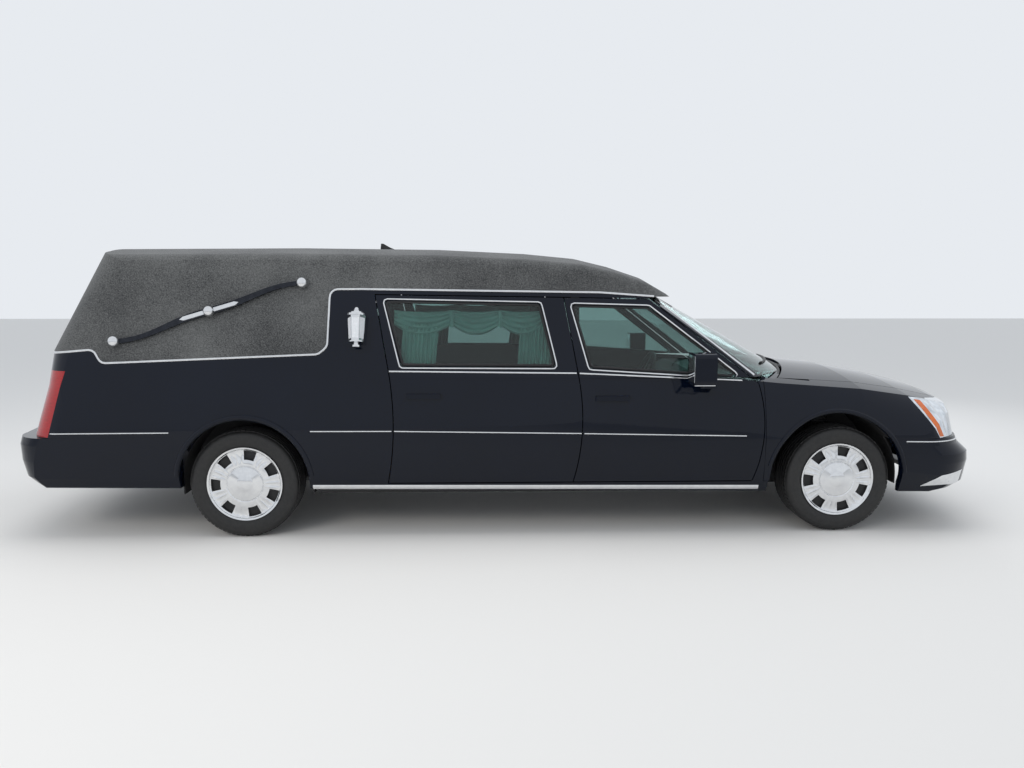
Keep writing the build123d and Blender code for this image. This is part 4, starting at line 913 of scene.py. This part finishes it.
def skin_patch(name, corners, node, lift, throw, steps, material, body):
    """A thin patch over a CAD panel, spread between four corners and thrown onto it."""
    if node not in panel_trees:
        panel_trees[node] = BVHTree.FromPolygons([v.co for v in nodes[node].data.vertices],
                                                 [tuple(f.vertices) for f in nodes[node].data.polygons])
    low_left, low_right, high_right, high_left = [Vector(c) for c in corners]
    direction = Vector(throw)
    top = []
    for j in range(steps[1] + 1):
        v = j / steps[1]
        for i in range(steps[0] + 1):
            u = i / steps[0]
            at = low_left.lerp(low_right, u).lerp(high_left.lerp(high_right, u), v)
            hit, normal = panel_trees[node].ray_cast(at, direction)[:2]
            if hit is None:
                hit, normal = panel_trees[node].find_nearest(at)[:2]
            if normal.dot(direction) > 0:
                normal = -normal
            top.append((hit, normal))
    verts = [p + n * lift for p, n in top] + [p - n * patch_root for p, n in top]
    wide = steps[0] + 1
    count = len(top)
    faces = []
    for j in range(steps[1]):
        for i in range(steps[0]):
            a = j * wide + i
            faces.append((a, a + 1, a + wide + 1, a + wide))
            faces.append((count + a, count + a + wide, count + a + wide + 1, count + a + 1))
    rim_points = (list(range(wide)) + [j * wide + steps[0] for j in range(1, steps[1] + 1)]
                  + [steps[1] * wide + i for i in range(steps[0] - 1, -1, -1)]
                  + [j * wide for j in range(steps[1] - 1, 0, -1)])
    for k, a in enumerate(rim_points):
        b = rim_points[(k + 1) % len(rim_points)]
        faces.append((a, count + a, count + b, b))
    piece = solid_from(name, verts, faces, material)
    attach(piece, body)
    return piece


marker_corners = [(2.722, 0.622), (2.752, 0.622), (2.640, 0.838), (2.598, 0.845)]
insert_corners = [(2.615, 0.300), (2.880, 0.318), (2.905, 0.400), (2.735, 0.375)]
dividers = [[(2.790, 0.618), (2.690, 0.842)], [(2.835, 0.615), (2.765, 0.828)]]
for side, way in sides:
    reach = way * outside_all
    skin_patch("side_marker_" + side, [(x, reach, z) for x, z in marker_corners], "headlamps", 0.002,
               (0, -way, 0), (4, 14), amber, "coach")
    skin_patch("bumper_insert_" + side, [(x, reach, z) for x, z in insert_corners], "front_bumper", 0.004,
               (0, -way, 0), (14, 5), chrome, "coach")
    for number, ends in enumerate(dividers):
        bead("lamp_divider_%d_%s" % (number + 1, side), [(x, reach, z) for x, z in ends], "headlamps",
             "coach", 0.008, 0.003, throw=(0, -way, 0))

# Plate and pull at the tail
# A bare enamelled plate in a chrome surround, screwed to the loading door under a bright pull bar.
plate_white = finish("plate_enamel", (0.55, 0.56, 0.57), (0.62, 0.63, 0.64), 20, (0.3, 0.4), (0.05, 0.0005))
plate_half, plate_low, plate_high = 0.153, 0.735, 0.887
surround_margin = 0.009


def tail_rectangle(half, low, high):
    """Four points behind the coach."""
    return [(behind, half, low), (behind, -half, low), (behind, -half, high), (behind, half, high)]


skin_patch("rear_plate", tail_rectangle(plate_half, plate_low, plate_high), "loading_door", 0.004, (1, 0, 0),
           (6, 4), plate_white, "loading_door")
bead("rear_plate_frame", tail_rectangle(plate_half + surround_margin, plate_low - surround_margin,
                                        plate_high + surround_margin),
     "loading_door", "loading_door", 0.014, 0.008, closed=True, corner=0.012, throw=(1, 0, 0))
bead("loading_pull", [(behind, -0.46, 0.985), (behind, -0.24, 0.985)], "loading_door", "loading_door",
     0.03, 0.02, throw=(1, 0, 0))


# Grille and nose
# An egg-crate grille cast in one piece and chromed, let into the nose between the headlamps.
# A black screen is fixed close behind it.
dress(chrome, "grille")
screen = finish("grille_screen", (0.004, 0.004, 0.004), (0.012, 0.012, 0.012), 200, (0.6, 0.8), (0.3, 0.001))


def block(name, centre, size, material, bevel=0.002):
    """A block with its edges rounded."""
    verts = [[middle + sign * full / 2 for middle, full, sign in zip(centre, size, signs)]
             for signs in ((a, b, c) for a in (-1, 1) for b in (-1, 1) for c in (-1, 1))]
    return solid_from(name, verts, box_faces, material, bevel)


screen_size = (0.008, 0.90, 0.15)
screen_behind = 0.012
screen_z = 0.690
grille_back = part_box("grille")[0][0]
screen_piece = block("grille_screen", (grille_back - screen_behind, 0, screen_z), screen_size, screen)
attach(screen_piece, "coach")


# Door mirrors
# Black mirror heads moulded on the front doors.
# Each has a silvered face to the rear and a bright strip clipped on underneath.
mirror_face = finish("mirror_face", (0.70, 0.72, 0.74), (0.74, 0.76, 0.78), 5, (0.02, 0.04), Metallic=1.0)
mirror_y = 1.030
for side, way in sides:
    face = block("mirror_face_" + side, (1.0895, way * mirror_y, 1.072), (0.003, 0.142, 0.160), mirror_face,
                 0.0012)
    strip = block("mirror_strip_" + side, (1.156, way * mirror_y, 0.977), (0.128, 0.128, 0.012), chrome,
                  0.004)
    for piece in (face, strip):
        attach(piece, "front_door_" + side)


# Wipers and aerial
# Two black arms parked on the foot of the windshield, and a short moulded fin glued on the roof.
wiper_black = finish("wiper_black", (0.008, 0.008, 0.009), (0.02, 0.02, 0.02), 250, (0.4, 0.55),
                     (0.1, 0.0004))
dress(wiper_black, "cowl_panel")
for name, near_y, far_y in (("wiper_right", -0.62, -0.05), ("wiper_left", 0.02, 0.60)):
    bead(name, [(2.3, near_y, 1.06), (2.3, far_y, 1.06)], "windshield", "coach", 0.02, 0.014, wiper_black,
         throw=(-1, 0, 0), slot="black_plastic")
fin_outline = [(-0.905, 0), (-0.790, 0), (-0.835, 0.018), (-0.885, 0.046), (-0.900, 0.046)]
fin_half = 0.012
fin_sunk = 0.008
roof_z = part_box("vinyl_roof")[1][2] - fin_sunk
verts = [(x, y, roof_z + z) for y in (-fin_half, fin_half) for x, z in fin_outline]
faces = [tuple(range(4, -1, -1)), tuple(range(5, 10))]
faces += [(i, (i + 1) % 5, 5 + (i + 1) % 5, 5 + i) for i in range(5)]
fin = solid_from("aerial_fin", verts, faces, wiper_black, 0.003)
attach(fin, "coach")


# Cabin
# Two front seats in grey leather over padded foam, bolted to the floor, and a soft black dash and wheel.
# Behind them a partition closes off the varnished casket deck with its steel rollers.
leather = finish("seat_leather", (0.10, 0.115, 0.12), (0.16, 0.18, 0.185), 260, (0.4, 0.55), (0.5, 0.001),
                 crackle=0.5)
dash_black = finish("dash_black", (0.012, 0.012, 0.013), (0.03, 0.03, 0.031), 500, (0.5, 0.65), (0.4, 0.0006),
                    crackle=0.6)
dress(dash_black, "dashboard", "steering_wheel")
deck_wood = finish("deck_wood", (0.13, 0.055, 0.022), (0.26, 0.12, 0.05), 30, (0.15, 0.3), (0.1, 0.0005),
                   stretch=(0.12, 1, 1), Coat_Weight=0.6)
dress(deck_wood, "casket_deck")
steel = finish("brushed_steel", (0.42, 0.42, 0.43), (0.55, 0.55, 0.56), 90, (0.25, 0.4), (0.1, 0.0004),
               stretch=(1, 0.05, 1), Metallic=1.0)
dress(steel, "deck_rollers")
pad_spans = 22
channel_depth = 0.012
channel_count = 5
pad_crown = 0.02


def cushion(name, profile, near_y, far_y):
    """A crowned pad: a rounded side profile swept across, pulled in towards its ends."""
    outline = []
    count = len(profile)
    for k in range(count):
        a, b, c = [Vector((*profile[(k + j) % count], 0)) for j in (-1, 0, 1)]
        for step in range(4):
            t = step / 4
            start = (a + b) / 2
            finish_point = (b + c) / 2
            outline.append(start * (1 - t) ** 2 + b * 2 * t * (1 - t) + finish_point * t * t)
    middle = sum(outline, Vector()) / len(outline)
    verts = []
    for j in range(pad_spans + 1):
        share = 2 * j / pad_spans - 1
        pull = (1 - abs(share) ** 6) ** 0.5 * 0.22 + 0.78 if abs(share) < 1 else 0.70
        channel = 1 - channel_depth * (cos(share * channel_count * pi) > 0.93)
        crown = 1 + pad_crown * (1 - share * share)
        y = near_y + (far_y - near_y) * (share + 1) / 2
        for point in outline:
            moved = middle + (point - middle) * pull * channel * crown
            verts.append((moved.x, y, moved.y))
    ring = len(outline)
    faces = [(j * ring + i, j * ring + (i + 1) % ring, (j + 1) * ring + (i + 1) % ring, (j + 1) * ring + i)
             for j in range(pad_spans) for i in range(ring)]
    faces += [tuple(range(ring - 1, -1, -1)), tuple(pad_spans * ring + i for i in range(ring))]
    return solid_from(name, verts, faces, leather)


# name, side profile as x and z, inner and outer y
pads = [
    ("seat_cushion", [(0.852, 0.425), (0.858, 0.530), (0.800, 0.570), (0.410, 0.535), (0.395, 0.405),
                      (0.830, 0.395)], 0.125, 0.615),
    ("seat_back", [(0.460, 0.470), (0.335, 1.120), (0.285, 1.165), (0.215, 1.160), (0.182, 1.100),
                   (0.315, 0.440)], 0.130, 0.610),
    ("head_rest", [(0.306, 1.180), (0.296, 1.325), (0.268, 1.336), (0.212, 1.334), (0.202, 1.200),
                   (0.225, 1.172)], 0.245, 0.495),
]
seat_base_profile = [(0.800, 0.420), (0.780, 0.305), (0.440, 0.305), (0.420, 0.420)]
post_profile = [(0.262, 1.130), (0.259, 1.200), (0.247, 1.200), (0.250, 1.130)]
verts = []
faces = []
for way in (-1, 1):
    for profile, near, far in ((seat_base_profile, 0.18, 0.56), (post_profile, 0.300, 0.316),
                               (post_profile, 0.424, 0.440)):
        start = len(verts)
        verts += [(x, way * y, z) for y in (near, far) for x, z in profile]
        faces += [tuple(start + i for i in face) for face in
                  ((0, 1, 2, 3), (7, 6, 5, 4), (0, 4, 5, 1), (1, 5, 6, 2), (2, 6, 7, 3), (3, 7, 4, 0))]
seat_bases = solid_from("seat_bases", verts, faces, dash_black, 0.003)
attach(seat_bases, "coach")
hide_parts("front_seats")
for side, way in sides:
    for name, profile, near, far in pads:
        pad = cushion(name + "_" + side, profile, way * near, way * far)
        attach(pad, "coach")


# Under the coach
# Floor, frame and axle are welded steel under a black stone-chip coating; the exhaust is bare steel.
# Engine block and knuckles are bare castings, and the tank is moulded in black plastic.
underseal = finish("underseal", (0.010, 0.010, 0.011), (0.03, 0.03, 0.03), 160, (0.6, 0.85), (0.6, 0.002))
casting = finish("casting", (0.09, 0.09, 0.095), (0.17, 0.17, 0.175), 120, (0.5, 0.7), (0.5, 0.0015),
                 Metallic=0.7)
dress(underseal, "floorpan", "front_frame", "rear_axle")
dress(casting, "engine_block", "knuckle_right", "knuckle_left")
dress(steel, "exhaust")
dress(dash_black, "fuel_tank")

for panel in panels_used.values():
    bpy.data.objects.remove(panel)
